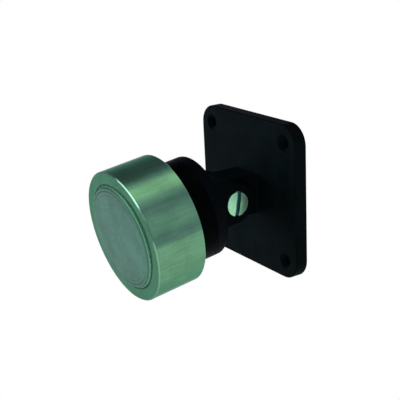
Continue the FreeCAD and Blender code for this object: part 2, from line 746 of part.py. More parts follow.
# Rear housing and what it holds
def make_rear_housing():
    """Cup between the fork and the magnet, with the connection space in it."""
    body = new_body("rear_housing")
    radius = size("housing_radius")
    profile = new_sketch(body, "profile", "XY_Plane")
    outline(profile, [
        (CAVITY_RADIUS, f"-{FORK_FRONT}"), (radius, f"-{FORK_FRONT}"),
        (radius, f"-{HOUSING_FRONT}"), ("0", f"-{HOUSING_FRONT}"),
        ("0", f"-{HOUSING_FLOOR}"), (CAVITY_RADIUS, f"-{HOUSING_FLOOR}")])
    turn(body, profile)

    # Bosses for the flange screws, up to the fork's spigot
    bosses = new_sketch(body, "bosses", "XZ_Plane", SPIGOT_FRONT)
    corner_circles(bosses, f"({size('flange_screw_boss')} / 2)", FLANGE_SCREW_X, FLANGE_SCREW_Z)
    pad(body, bosses, f"({HOUSING_FLOOR} - {SPIGOT_FRONT})")

    # Fence that the terminal block stands in
    fence = new_sketch(body, "fence", "XZ_Plane", f"({HOUSING_FLOOR} - {size('block_fence_high')})")
    inside_width = f"({size('block_width')} + 2 * {size('seat_fit')})"
    inside_height = f"({size('block_height')} + 2 * {size('seat_fit')})"
    middle_rectangle(fence, inside_width, inside_height)
    middle_rectangle(fence, f"({inside_width} + 2 * {size('block_fence_thick')})",
                     f"({inside_height} + 2 * {size('block_fence_thick')})")
    pad(body, fence, size("block_fence_high"))

    holes = new_sketch(body, "screw_holes", "XZ_Plane", HOUSING_FRONT)
    corner_circles(holes, f"({FLANGE_SCREW_RADIUS} + {size('seat_fit')})",
                   FLANGE_SCREW_X, FLANGE_SCREW_Z)
    pocket(body, holes)
    lead_holes = new_sketch(body, "lead_holes", "XZ_Plane", HOUSING_FRONT)
    pair_of_lead_holes(lead_holes)
    pocket(body, lead_holes, size("housing_floor"))

    # Cable entry through the underside, with a flat seat for the grommet
    above_wall = f"({CAVITY_RADIUS} - {size('grommet_neck')} / 2)"
    entry = new_sketch(body, "entry", "XY_Plane", f"-{above_wall}")
    circle(entry, f"({size('grommet_neck')} / 2)", "0", f"-{GROMMET_STATION}")
    pocket(body, entry)
    seat = new_sketch(body, "entry_seat", "XY_Plane", f"-{GROMMET_SEAT}")
    circle(seat, f"({size('grommet_collar')} / 2 + {size('seat_fit')})", "0",
           f"-{GROMMET_STATION}")
    pocket(body, seat)
    hang_on_hinge(body)
    return body


def pair_of_lead_holes(sketch):
    """Two holes for the coil's leads."""
    for sign in ("", "-"):
        circle(sketch, f"({size('lead_hole_bore')} / 2)", f"{sign}{LEAD_X}", LEAD_RISE)


def make_cable_grommet():
    """Rubber grommet in the cable entry."""
    body = new_body("cable_grommet")
    bore = f"({size('grommet_bore')} / 2)"
    neck = f"({size('grommet_neck')} / 2 - {size('joint_gap')})"
    collar = f"({size('grommet_collar')} / 2)"
    end = f"({GROMMET_SEAT} + {size('grommet_collar_high')})"
    lip = f"({neck} + {size('grommet_lip_high')})"
    # Inside, the lip clears the round wall at its widest place
    lip_seat = f"(sqrt({CAVITY_RADIUS}^2 - {lip}^2) - {size('joint_gap')})"
    lip_top = f"({lip_seat} - {size('grommet_lip_high')})"
    profile = new_sketch(body, "profile", "XZ_Plane", GROMMET_STATION)
    outline(profile, [
        (bore, f"-{end}"), (collar, f"-{end}"), (collar, f"-{GROMMET_SEAT}"),
        (neck, f"-{GROMMET_SEAT}"), (neck, f"-{lip_seat}"), (lip, f"-{lip_seat}"), (neck, f"-{lip_top}"),
        (bore, f"-{lip_top}")])
    turn(body, profile)
    hang_on_hinge(body)
    return body


def make_flange_screws():
    """Four countersunk screws that hold the fork and the rear housing to the magnet."""
    body = new_body("flange_screws")
    head = f"({size('flange_screw_head')} / 2)"
    top = f"({FORK_BACK} + {size('seat_fit')})"
    neck = f"({top} + {head} - {FLANGE_SCREW_RADIUS})"
    profile = new_sketch(body, "profile", "XY_Plane", FLANGE_SCREW_Z)
    profile.setExpression("AttachmentOffset.Base.x", FLANGE_SCREW_X)
    outline(profile, [
        ("0", f"-{top}"), (head, f"-{top}"), (FLANGE_SCREW_RADIUS, f"-{neck}"),
        (FLANGE_SCREW_RADIUS, f"-{FLANGE_SCREW_TIP}"), ("0", f"-{FLANGE_SCREW_TIP}")])
    turned = turn(body, profile)
    # Cross recess
    cross = new_sketch(body, "cross", "XZ_Plane", top)
    long = f"({size('recess_long')} / 2)"
    wide = f"({size('recess_wide')} / 2)"
    corners = [(long, f"-{wide}"), (long, wide), (wide, wide), (wide, long), (f"-{wide}", long),
               (f"-{wide}", wide), (f"-{long}", wide), (f"-{long}", f"-{wide}"),
               (f"-{wide}", f"-{wide}"), (f"-{wide}", f"-{long}"), (wide, f"-{long}"),
               (wide, f"-{wide}")]
    outline(cross, [(f"({FLANGE_SCREW_X} + {x})", f"({FLANGE_SCREW_Z} + {z})")
                    for x, z in corners])
    recess = pocket(body, cross, size("recess_deep"), backwards=True)
    repeat_in_corners(body, [turned, recess])
    hang_on_hinge(body)
    return body


# Magnet
def make_magnet_pot():
    """Steel pot turned from bar, open at the front."""
    body = new_body("magnet_pot")
    radius = size("pot_radius")
    chamfer = size("pot_rim_chamfer")
    mouth = f"({size('core_screw_head')} / 2 + {size('seat_fit')})"
    bore = f"({CORE_THREAD} + {size('seat_fit')})"
    profile = new_sketch(body, "profile", "XY_Plane")
    outline(profile, [
        (mouth, f"-{POT_BACK}"), (f"{radius} - {chamfer}", f"-{POT_BACK}"),
        (radius, f"-({POT_BACK} + {chamfer})"), (radius, f"-({POT_FRONT} - {chamfer})"),
        (f"{radius} - {chamfer}", f"-{POT_FRONT}"), (POT_BORE, f"-{POT_FRONT}"),
        (POT_BORE, f"-{POT_FLOOR}"), (bore, f"-{POT_FLOOR}"),
        (bore, f"-({POT_BACK} + {mouth} - {bore})")])
    turn(body, profile)
    lead_holes = new_sketch(body, "lead_holes", "XZ_Plane", POT_BACK)
    pair_of_lead_holes(lead_holes)
    pocket(body, lead_holes, size("pot_back"), backwards=True)
    threads = new_sketch(body, "flange_threads", "XZ_Plane", POT_BACK)
    corner_circles(threads, f"({FLANGE_SCREW_RADIUS} + {size('thread_fit')})",
                   FLANGE_SCREW_X, FLANGE_SCREW_Z)
    depth = f"({FLANGE_SCREW_TIP} - {POT_BACK} + {size('thread_runout')})"
    pocket(body, threads, depth, backwards=True)
    hang_on_hinge(body)
    return body


def make_pole_core():
    """Steel core with its wide pole disc, which stands proud of the pot's rim."""
    body = new_body("pole_core")
    thread = f"({CORE_THREAD} + {size('thread_fit')})"
    thread_end = f"({CORE_SCREW_TIP} + {size('thread_runout')})"
    face = FACE_RADIUS
    chamfer = size("face_edge_chamfer")
    profile = new_sketch(body, "profile", "XY_Plane")
    outline(profile, [
        (thread, f"-{POT_FLOOR}"), (CORE_RADIUS, f"-{POT_FLOOR}"),
        (CORE_RADIUS, f"-{FACE_BACK}"), (face, f"-{FACE_BACK}"),
        (face, f"-({FACE_FRONT} - {chamfer})"), (f"{face} - {chamfer}", f"-{FACE_FRONT}"),
        ("0", f"-{FACE_FRONT}"), ("0", f"-{thread_end}"), (thread, f"-{thread_end}")])
    turn(body, profile)
    hang_on_hinge(body)
    return body


def make_core_screw():
    """Countersunk socket screw that draws the core onto the pot's floor."""
    body = new_body("core_screw")
    head = f"({size('core_screw_head')} / 2)"
    top = f"({POT_BACK} + {size('seat_fit')})"
    profile = new_sketch(body, "profile", "XY_Plane")
    outline(profile, [
        ("0", f"-{top}"), (head, f"-{top}"), (CORE_THREAD, f"-({top} + {head} - {CORE_THREAD})"),
        (CORE_THREAD, f"-{CORE_SCREW_TIP}"), ("0", f"-{CORE_SCREW_TIP}")])
    turn(body, profile)
    socket = new_sketch(body, "socket", "XZ_Plane", top)
    hexagon(socket, f"({size('core_socket_flats')} / 2)")
    pocket(body, socket, size("core_socket_deep"), backwards=True)
    hang_on_hinge(body)
    return body


def make_coil_bobbin():
    """Plastic spool round the core."""
    body = new_body("coil_bobbin")
    profile = new_sketch(body, "profile", "XY_Plane")
    outline(profile, [
        (BOBBIN_BORE, f"-{BOBBIN_BACK}"), (BOBBIN_RIM, f"-{BOBBIN_BACK}"),
        (BOBBIN_RIM, f"-{WINDING_BACK}"), (BOBBIN_TUBE, f"-{WINDING_BACK}"),
        (BOBBIN_TUBE, f"-{WINDING_FRONT}"), (BOBBIN_RIM, f"-{WINDING_FRONT}"),
        (BOBBIN_RIM, f"-{BOBBIN_FRONT}"), (BOBBIN_BORE, f"-{BOBBIN_FRONT}")])
    turn(body, profile)
    lead_holes = new_sketch(body, "lead_holes", "XZ_Plane", BOBBIN_BACK)
    pair_of_lead_holes(lead_holes)
    pocket(body, lead_holes, size("bobbin_flange"), backwards=True)
    hang_on_hinge(body)
    return body


def make_coil_winding():
    """Copper winding between the spool's flanges."""
    body = new_body("coil_winding")
    profile = new_sketch(body, "profile", "XY_Plane")
    rectangle(profile, f"({BOBBIN_TUBE} + {size('joint_gap')})", f"-{WINDING_FRONT}",
              WINDING_RADIUS, f"-{WINDING_BACK}")
    turn(body, profile)
    hang_on_hinge(body)
    return body


def make_potting_resin():
    """Cast resin round the winding, which also fills the gap between pole disc and rim."""
    body = new_body("potting_resin")
    gap = size("joint_gap")
    inner = f"({WINDING_RADIUS} + {gap})"
    outer = f"({POT_BORE} - {gap})"
    ring = f"({FACE_RADIUS} + {gap})"
    front = f"({POT_FRONT} - {size('resin_below_face')})"
    profile = new_sketch(body, "profile", "XY_Plane")
    outline(profile, [
        (inner, f"-{WINDING_BACK}"), (outer, f"-{WINDING_BACK}"), (outer, f"-{front}"),
        (ring, f"-{front}"), (ring, f"-{WINDING_FRONT}"), (inner, f"-{WINDING_FRONT}")])
    turn(body, profile)
    hang_on_hinge(body)
    return body


# Connections
def make_coil_lead(label, sign):
    """Insulated wire from the winding, back through the pot and down into its clamp."""
    body = new_body(label)
    rise = LEAD_RISE
    bend = size("lead_bend")
    path = new_sketch(body, "path", "YZ_Plane", f"{sign}{LEAD_X}")
    bent_path(path, (f"-{WINDING_BACK}", rise), (f"-({LEAD_STATION} + {bend})", rise),
              (f"-{LEAD_STATION}", f"({rise} - {bend})"),
              (f"-{LEAD_STATION}", f"-{size('wire_past_screw')}"), bend)
    section = new_sketch(body, "section", "XZ_Plane", WINDING_BACK)
    circle(section, f"({size('lead_diameter')} / 2)", f"{sign}{LEAD_X}", rise)
    sweep(body, section, path)
    hang_on_hinge(body)
    return body


def make_terminal_block():
    """Two-pole block with a chamber and a screw well for each clamp."""
    body = new_body("terminal_block")
    outside = new_sketch(body, "outside", "XZ_Plane", BLOCK_BACK)
    middle_rectangle(outside, size("block_width"), size("block_height"))
    block = pad(body, outside, size("block_depth"))
    depth = number(size("block_depth"))
    round_edges(body, block, lambda edge: abs(edge.BoundBox.YLength - depth) < NEAR,
                size("block_edge_round"))
    chambers = new_sketch(body, "chambers", "XY_Plane")
    wells = new_sketch(body, "wells", "XZ_Plane", BLOCK_BACK)
    for sign in ("", "-"):
        middle_rectangle(chambers, f"({size('clamp_width')} + 2 * {size('seat_fit')})",
                         size("clamp_depth"), f"{sign}{LEAD_X}", f"-{CLAMP_MIDDLE}")
        circle(wells, f"({size('clamp_screw_head')} / 2 + {size('seat_fit')})",
               f"{sign}{LEAD_X}")
    pocket(body, chambers, middle=True)
    pocket(body, wells, f"({size('block_depth')} / 2)", backwards=True)
    hang_on_hinge(body)
    return body


def make_terminal_clamps():
    """Two brass clamps, bored for the wires and threaded for their screws."""
    body = new_body("terminal_clamps")
    blank = new_sketch(body, "blank", "XY_Plane")
    middle_rectangle(blank, size("clamp_width"), size("clamp_depth"), LEAD_X,
                     f"-{CLAMP_MIDDLE}")
    bar = pad(body, blank, f"({size('block_height')} - 2 * {size('seat_fit')})", middle=True)
    bore = new_sketch(body, "bore", "XY_Plane")
    circle(bore, f"({size('clamp_bore')} / 2)", LEAD_X, f"-{CLAMP_MIDDLE}")
    bored = pocket(body, bore, middle=True)
    thread = new_sketch(body, "thread", "XZ_Plane", BLOCK_BACK)
    circle(thread, f"({size('clamp_screw_thread')} / 2 + {size('thread_fit')})", LEAD_X)
    threaded = pocket(body, thread, f"({CLAMP_MIDDLE} - {BLOCK_BACK})", backwards=True)
    repeat_across(body, [bar, bored, threaded])
    hang_on_hinge(body)
    return body


def make_terminal_screws():
    """Two slotted clamp screws, reached from the hinge side."""
    body = new_body("terminal_screws")
    shank = f"({size('clamp_screw_thread')} / 2)"
    head = f"({size('clamp_screw_head')} / 2)"
    top = f"({CLAMP_BACK} - {size('clamp_screw_head_high')})"
    tip = f"({LEAD_STATION} - {size('lead_diameter')} / 2)"
    profile = new_sketch(body, "profile", "YZ_Plane", LEAD_X)
    outline(profile, [
        (f"-{top}", "0"), (f"-{top}", head), (f"-{CLAMP_BACK}", head), (f"-{CLAMP_BACK}", shank),
        (f"-{tip}", shank), (f"-{tip}", "0")])
    turned = turn(body, profile, "H_Axis")
    slot = new_sketch(body, "slot", "XZ_Plane", top)
    middle_rectangle(slot, f"2 * {head}", size("recess_wide"), LEAD_X)
    slotted = pocket(body, slot, f"({size('clamp_screw_head_high')} / 2)", backwards=True)
    repeat_across(body, [turned, slotted])
    hang_on_hinge(body)
    return body


def make_suppression_diode():
    """Diode across the two clamps, with its wires bent up into them."""
    body = new_body("suppression_diode")
    drop = f"({size('block_height')} / 2 + {size('diode_drop')})"
    bend = size("diode_bend")
    end = size("wire_past_screw")
    path = new_sketch(body, "path", "XZ_Plane", WIRE_STATION)
    bent_path(path, (f"-{LEAD_X}", end), (f"-{LEAD_X}", f"-({drop} - {bend})"),
              (f"-({LEAD_X} - {bend})", f"-{drop}"), ("0", f"-{drop}"), bend)
    section = new_sketch(body, "section", "XY_Plane", end)
    circle(section, f"({size('diode_lead')} / 2)", f"-{LEAD_X}", f"-{WIRE_STATION}")
    wire = sweep(body, section, path)
    repeat_across(body, [wire])
    glass = new_sketch(body, "glass", "YZ_Plane")
    circle(glass, f"({size('diode_diameter')} / 2)", f"-{WIRE_STATION}", f"-{drop}")
    pad(body, glass, size("diode_length"), middle=True)
    hang_on_hinge(body)
    return body


def main():
    """Build every sub-part in the order in which the door holder goes together."""
    parts = [make_base_plate(), make_pivot_bush(), make_swivel_fork(), *make_friction_washers(),
             make_pivot_screw(), make_pivot_nut(), make_rear_housing(), make_cable_grommet(),
             make_flange_screws(), make_magnet_pot(), make_pole_core(), make_core_screw(),
             make_coil_bobbin(), make_coil_winding(), make_potting_resin(),
             make_coil_lead("coil_lead_right", ""), make_coil_lead("coil_lead_left", "-"),
             make_terminal_block(), make_terminal_clamps(), make_terminal_screws(),
             make_suppression_diode()]
    doc.recompute()
    for item in doc.Objects:
        if "Invalid" in item.State or "Error" in item.State:
            raise ValueError(f"{item.Name} failed: {item.State}")
    for part in parts:
        if part.Shape.isNull() or not part.Shape.isValid():
            raise ValueError(f"{part.Label} has no valid shape")
    os.makedirs("parts", exist_ok=True)
    for part in parts:
        part.Shape.exportStep(f"parts/{part.Label}.step")
        print(part.Label, len(part.Shape.Solids), round(part.Shape.Volume, 1))


if __name__ == "__main__":
    main()
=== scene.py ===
"""Electromagnetic door holder: finishes, added details, studio and camera."""

import json
import logging
import math
from collections.abc import Callable, Iterable, Sequence
from dataclasses import dataclass
from enum import Enum
from functools import reduce

import bmesh
import bpy
from mathutils import Matrix, Vector


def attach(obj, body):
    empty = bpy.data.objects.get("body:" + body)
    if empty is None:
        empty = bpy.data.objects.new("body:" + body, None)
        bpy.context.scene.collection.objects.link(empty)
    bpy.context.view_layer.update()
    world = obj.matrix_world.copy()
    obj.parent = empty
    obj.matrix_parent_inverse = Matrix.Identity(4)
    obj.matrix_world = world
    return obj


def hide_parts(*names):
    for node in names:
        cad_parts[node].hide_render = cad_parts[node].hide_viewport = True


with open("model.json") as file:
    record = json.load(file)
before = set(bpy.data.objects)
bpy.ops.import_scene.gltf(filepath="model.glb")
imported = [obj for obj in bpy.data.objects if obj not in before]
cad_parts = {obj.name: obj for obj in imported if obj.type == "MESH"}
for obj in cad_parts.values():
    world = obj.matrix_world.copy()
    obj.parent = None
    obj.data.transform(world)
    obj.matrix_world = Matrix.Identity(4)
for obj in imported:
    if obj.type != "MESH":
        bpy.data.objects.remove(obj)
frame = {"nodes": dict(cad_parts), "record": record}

LOG = logging.getLogger("door_holder")
MM = 0.001

# Straight pieces in a rounded edge, a round corner, a tongue's end, circles and lathed rings
EDGE_STEPS = 6
CORNER_STEPS = 14
TONGUE_STEPS = 72
HEXAGON_SIDES = 6
CIRCLE_STEPS = 64
SMALL_RING_STEPS = 96
RING_STEPS = 192
# Millimetres: points closer than this are one, and how far a cutter stands out
MERGE = 1e-4
CLEAR = 1.0
SMALLEST_ROUND = 0.02
# Edges that turn more than this stay sharp
SHARP_ANGLE = math.radians(32.0)
MIDDLE = (0.0, 0.0)
SQUARE = ((-1, -1), (1, -1), (1, 1), (-1, 1))
RAYS_NOT_MIRRORED = ("camera", "diffuse", "transmission", "volume_scatter", "shadow")

Colour = tuple[float, float, float]
Point = tuple[float, float]
Corner = tuple[float, float, float]
Triple = tuple[float, float, float]
Level = tuple[float, float]
Span = tuple[float, float]
Outline = Callable[[float], list[Point]]
Dress = dict[str, bpy.types.Material]
Socket = bpy.types.NodeSocket
Node = bpy.types.Node
Value = Socket | float | tuple


class Body(Enum):
    """The two rigid bodies of the door holder."""

    BASE = "base"
    HEAD = "head"


class Direction(Enum):
    """Which way the lathe's marks run on a turned surface."""

    ALONG_AXIS = "Along"
    ACROSS_FACE = "Radius"


class Facing(Enum):
    """The way that a form's depth runs in its own frame."""

    OUT = ((1, 0, 0), (0, 0, -1), (0, 1, 0))
    RIGHT = ((0, 0, 1), (1, 0, 0), (0, 1, 0))
    DOWN = ((1, 0, 0), (0, -1, 0), (0, 0, -1))


@dataclass(frozen=True)
class HingePlace:
    """Where the head's own frame lies: at the hinge, tilted by the hanging angle."""

    height: float = 20.0
    droop: float = 8.0

    def matrix(self) -> Matrix:
        """Return the transform from the head's frame to the row frame, in metres."""
        turned = Matrix.Rotation(math.radians(self.droop), 4, "X")
        return Matrix.Translation((0.0, -self.height * MM, 0.0)) @ turned


def rounded_outline(corners: Sequence[Corner], steps: int = EDGE_STEPS) -> list[Point]:
    """Round each corner of a closed outline by its own radius.

    Args:
        corners: place and radius of each corner.
        steps: straight pieces in each round corner.

    Returns:
        The outline's points.
    """
    points = []
    for index, (across, up, radius) in enumerate(corners):
        here = Vector((across, up))
        before = (Vector(corners[index - 1][:2]) - here).normalized()
        after = (Vector(corners[(index + 1) % len(corners)][:2]) - here).normalized()
        if radius == 0.0:
            points.append((across, up))
            continue
        half = before.angle(after) / 2.0
        middle = here + (before + after).normalized() * (radius / math.sin(half))
        start = here + before * (radius / math.tan(half)) - middle
        end = here + after * (radius / math.tan(half)) - middle
        sweep = math.atan2(start.x * end.y - start.y * end.x, start.dot(end))
        points += [tuple(middle + Matrix.Rotation(sweep * step / steps, 2) @ start)
                   for step in range(steps + 1)]
    return points


def on_circle(radius: float, turns: Iterable[float]) -> list[Point]:
    """Return the points of a circle at several angles."""
    return [(radius * math.cos(turn), radius * math.sin(turn)) for turn in turns]


def round_plate(width: float, height: float, corner: float) -> Outline:
    """Return the outline of a rectangle with round corners, for any inset."""
    signs = ((1, -1), (1, 1), (-1, 1), (-1, -1))
    return lambda inset: rounded_outline(
        [(x * (width / 2.0 - inset), y * (height / 2.0 - inset), max(corner - inset, SMALLEST_ROUND))
         for x, y in signs], CORNER_STEPS)


def disc(radius: float, steps: int = CIRCLE_STEPS) -> Outline:
    """Return the outline of a circle, for any inset."""
    turns = [math.tau * step / steps for step in range(steps)]
    return lambda inset: on_circle(radius - inset, turns)


def tongue(radius: float, root: float) -> Outline:
    """Return the outline of a tongue, round about its middle and straight to its root.

    Args:
        radius: radius of the round end.
        root: where the straight sides end, with its sign.

    Returns:
        The outline for any inset.
    """
    turns = [math.pi * (step / TONGUE_STEPS - 0.5) for step in range(TONGUE_STEPS + 1)]
    away = -math.copysign(1.0, root)
    return lambda inset: [(root, inset - radius),
                          *((away * x, y) for x, y in on_circle(radius - inset, turns)),
                          (root, radius - inset)]


def hexagon(half_flats: float) -> Outline:
    """Return the outline of a hexagon with two upright flats, for any inset."""
    turns = [math.tau * (side + 0.5) / HEXAGON_SIDES for side in range(HEXAGON_SIDES)]
    return lambda inset: on_circle((half_flats - inset) / math.cos(math.pi / HEXAGON_SIDES), turns)


def quarter_arc(depth: float, rise: float, inset: float) -> list[Level]:
    """Return the levels of one rounded edge.

    Args:
        depth: depth at which the edge starts.
        rise: how far the edge runs along the depth.
        inset: inset at the start, negative where the edge flares out.

    Returns:
        Depth and inset of each level.
    """
    turns = (math.pi / 2.0 * step / EDGE_STEPS for step in range(EDGE_STEPS + 1))
    return [(depth + rise * (1.0 - math.cos(turn)), inset * (1.0 - math.sin(turn))) for turn in turns]


def rounded_ends(start: float, end: float, start_round: float, end_round: float) -> list[Level]:
    """Return the levels of a form between two depths with a rounded edge at each end."""
    return [*quarter_arc(start, start_round, start_round),
            *reversed(quarter_arc(end, -end_round, end_round))]


def flared_mouth(bottom: float, mouth: float, flare: float) -> list[Level]:
    """Return the levels of a cutter that leaves a rounded edge where it comes out.

    Args:
        bottom: depth at which the hole ends.
        mouth: depth of the surface that it opens in.
        flare: radius of the mouth's edge.

    Returns:
        Depth and inset of each level.
    """
    way = math.copysign(1.0, mouth - bottom)
    return [(bottom, 0.0), *reversed(quarter_arc(mouth, -way * flare, -flare)),
            (mouth + way * CLEAR, -flare)]


def flared_root(surface: float, way: float, flare: float) -> list[Level]:
    """Return the levels of a skirt that rounds the inner corner of a form standing on a surface."""
    return [(surface - way * CLEAR, -flare), *quarter_arc(surface, way * flare, -flare)]


def corner_places(across: float, up: float) -> list[Point]:
    """Return the four corners of a rectangle about the middle."""
    return [(x * across, y * up) for x in (1.0, -1.0) for y in (1.0, -1.0)]


def rod_profile(start: float, end: float, radius: float) -> list[Corner]:
    """Return the lathe profile of a plain rod."""
    return [(start, 0.0, 0.0), (start, radius, 0.0), (end, radius, 0.0), (end, 0.0, 0.0)]


def grey(level: float) -> tuple[float, float, float, float]:
    """Return an opaque grey, white at a level of 1."""
    return level, level, level, 1.0


def scaled(colour: Colour, share: float) -> Colour:
    """Return a colour made darker or lighter, at most white."""
    return tuple(min(1.0, channel * share) for channel in colour)


def new_object(name: str, data: bpy.types.ID) -> bpy.types.Object:
    """Add an object to the scene.

    Args:
        name: the object's name.
        data: its mesh, light or camera.

    Returns:
        The new object.
    """
    item = bpy.data.objects.new(name, data)
    bpy.context.scene.collection.objects.link(item)
    return item


class Form:
    """A solid in millimetres that is cut, joined and at last dressed."""

    def __init__(self, points: Sequence[Vector], faces: Sequence[Sequence[int]]) -> None:
        """Make the solid's mesh with its faces turned outwards.

        Args:
            points: the mesh's points.
            faces: the points of each face.
        """
        mesh = bpy.data.meshes.new("form")
        mesh.from_pydata(points, [], faces)
        work = bmesh.new()
        work.from_mesh(mesh)
        bmesh.ops.remove_doubles(work, verts=work.verts, dist=MERGE)
        bmesh.ops.dissolve_degenerate(work, edges=work.edges, dist=MERGE)
        bmesh.ops.recalc_face_normals(work, faces=work.faces)
        work.to_mesh(mesh)
        work.free()
        self.thing = new_object("form", mesh)

    @classmethod
    def skin(cls, loops: Sequence[Sequence[Vector]], wraps: bool = False) -> "Form":
        """Build a form from loops with the same number of points.

        Args:
            loops: the loops in their order.
            wraps: whether the last loop joins the first; otherwise both are capped.

        Returns:
            The closed form.
        """
        count, total = len(loops[0]), len(loops)
        caps = [range(count), range(count * (total - 1), count * total)]
        faces: list[Sequence[int]] = [] if wraps else caps
        for level in range(total if wraps else total - 1):
            near, far = level * count, (level + 1) % total * count
            for side in range(count):
                beside = (side + 1) % count
                faces.append((near + side, near + beside, far + beside, far + side))
        return cls([point for loop in loops for point in loop], faces)

    @classmethod
    def loft(cls, shape: Outline, levels: Sequence[Level], facing: Facing = Facing.OUT,
             at: Point = MIDDLE) -> "Form":
        """Build a form from outlines at several depths.

        Args:
            shape: the outline for any inset.
            levels: depth and inset of each level.
            facing: the way that depth runs.
            at: place of the outline's middle.

        Returns:
            The closed form.
        """
        turned = Matrix(facing.value)
        return cls.skin([[turned @ Vector((at[0] + across, at[1] + up, depth))
                          for across, up in shape(inset)] for depth, inset in levels])

    @classmethod
    def straight(cls, shape: Outline, start: float, end: float, facing: Facing = Facing.OUT,
                 at: Point = MIDDLE) -> "Form":
        """Build a form that keeps its outline between two depths."""
        return cls.loft(shape, [(start, 0.0), (end, 0.0)], facing, at)

    @classmethod
    def pins(cls, radius: float, start: float, end: float, places: Iterable[Point]) -> list["Form"]:
        """Build a round pin between two depths at each of several places."""
        return [cls.straight(disc(radius), start, end, at=place) for place in places]

    @classmethod
    def lathe(cls, corners: Sequence[Corner], facing: Facing = Facing.OUT, at: Point = MIDDLE,
              steps: int = RING_STEPS) -> "Form":
        """Turn a closed profile about an axis.

        Args:
            corners: depth, radius and rounding of each corner of the profile.
            facing: the way that the axis runs.
            at: place of the axis.
            steps: flats round the form.

        Returns:
            The closed form.
        """
        turned, profile = Matrix(facing.value), rounded_outline(corners)
        spokes = on_circle(1.0, (math.tau * step / steps for step in range(steps)))
        return cls.skin([[turned @ Vector((at[0] + radius * x, at[1] + radius * y, depth))
                          for depth, radius in profile] for x, y in spokes], wraps=True)

    def combine(self, operation: str, others: Sequence["Form"]) -> "Form":
        """Join other forms to this one or cut them out of it.

        Args:
            operation: name of the boolean operation.
            others: the forms, which are used up.

        Returns:
            This form.
        """
        for other in others:
            modifier = self.thing.modifiers.new(operation, "BOOLEAN")
            modifier.operation = operation
            modifier.solver = "EXACT"
            modifier.object = other.thing
        ready = self.thing.evaluated_get(bpy.context.evaluated_depsgraph_get())
        mesh, old = bpy.data.meshes.new_from_object(ready), self.thing.data
        self.thing.modifiers.clear()
        self.thing.data = mesh
        for used in (old, *(other.thing.data for other in others)):
            bpy.data.meshes.remove(used)
        return self

    def cut(self, *others: "Form") -> "Form":
        """Cut other forms out of this one."""
        return self.combine("DIFFERENCE", others)

    def join(self, *others: "Form") -> "Form":
        """Join other forms to this one."""
        return self.combine("UNION", others)

    def finish(self, name: str, body: Body, node: str, slot: str, dress: Dress) -> None:
        """Bring the form to its place and dress it.

        Args:
            name: the piece's name.
            body: the rigid body that it moves with.
            node: the node that it stands for.
            slot: the material slot of its finish.
            dress: the finishes by slot.
        """
        place = HingePlace().matrix() if body is Body.HEAD else Matrix.Identity(4)
        mesh = self.thing.data
        mesh.transform(place @ Matrix.Scale(MM, 4))
        mesh.materials.clear()
        mesh.materials.append(dress[slot])
        mesh.shade_smooth()
        mesh.set_sharp_from_angle(angle=SHARP_ANGLE)
        weighted = self.thing.modifiers.new("weighted_normals", "WEIGHTED_NORMAL")
        weighted.keep_sharp = True
        self.thing.name = mesh.name = name
        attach(self.thing, body.value)
        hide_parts(node)
        LOG.info("%s built with %d faces", name, len(mesh.polygons))


@dataclass(frozen=True)
class Noise:
    """A noise by its features per millimetre, octaves, weight of the finer ones and masked values."""

    scale: Value
    detail: float = 3.0
    rough: float = 0.5
    span: Span = (0.0, 1.0)

    def inputs(self) -> dict[str, Value]:
        """Return the values by the names of a noise texture's inputs."""
        return {"Scale": self.scale, "Detail": self.detail, "Roughness": self.rough}


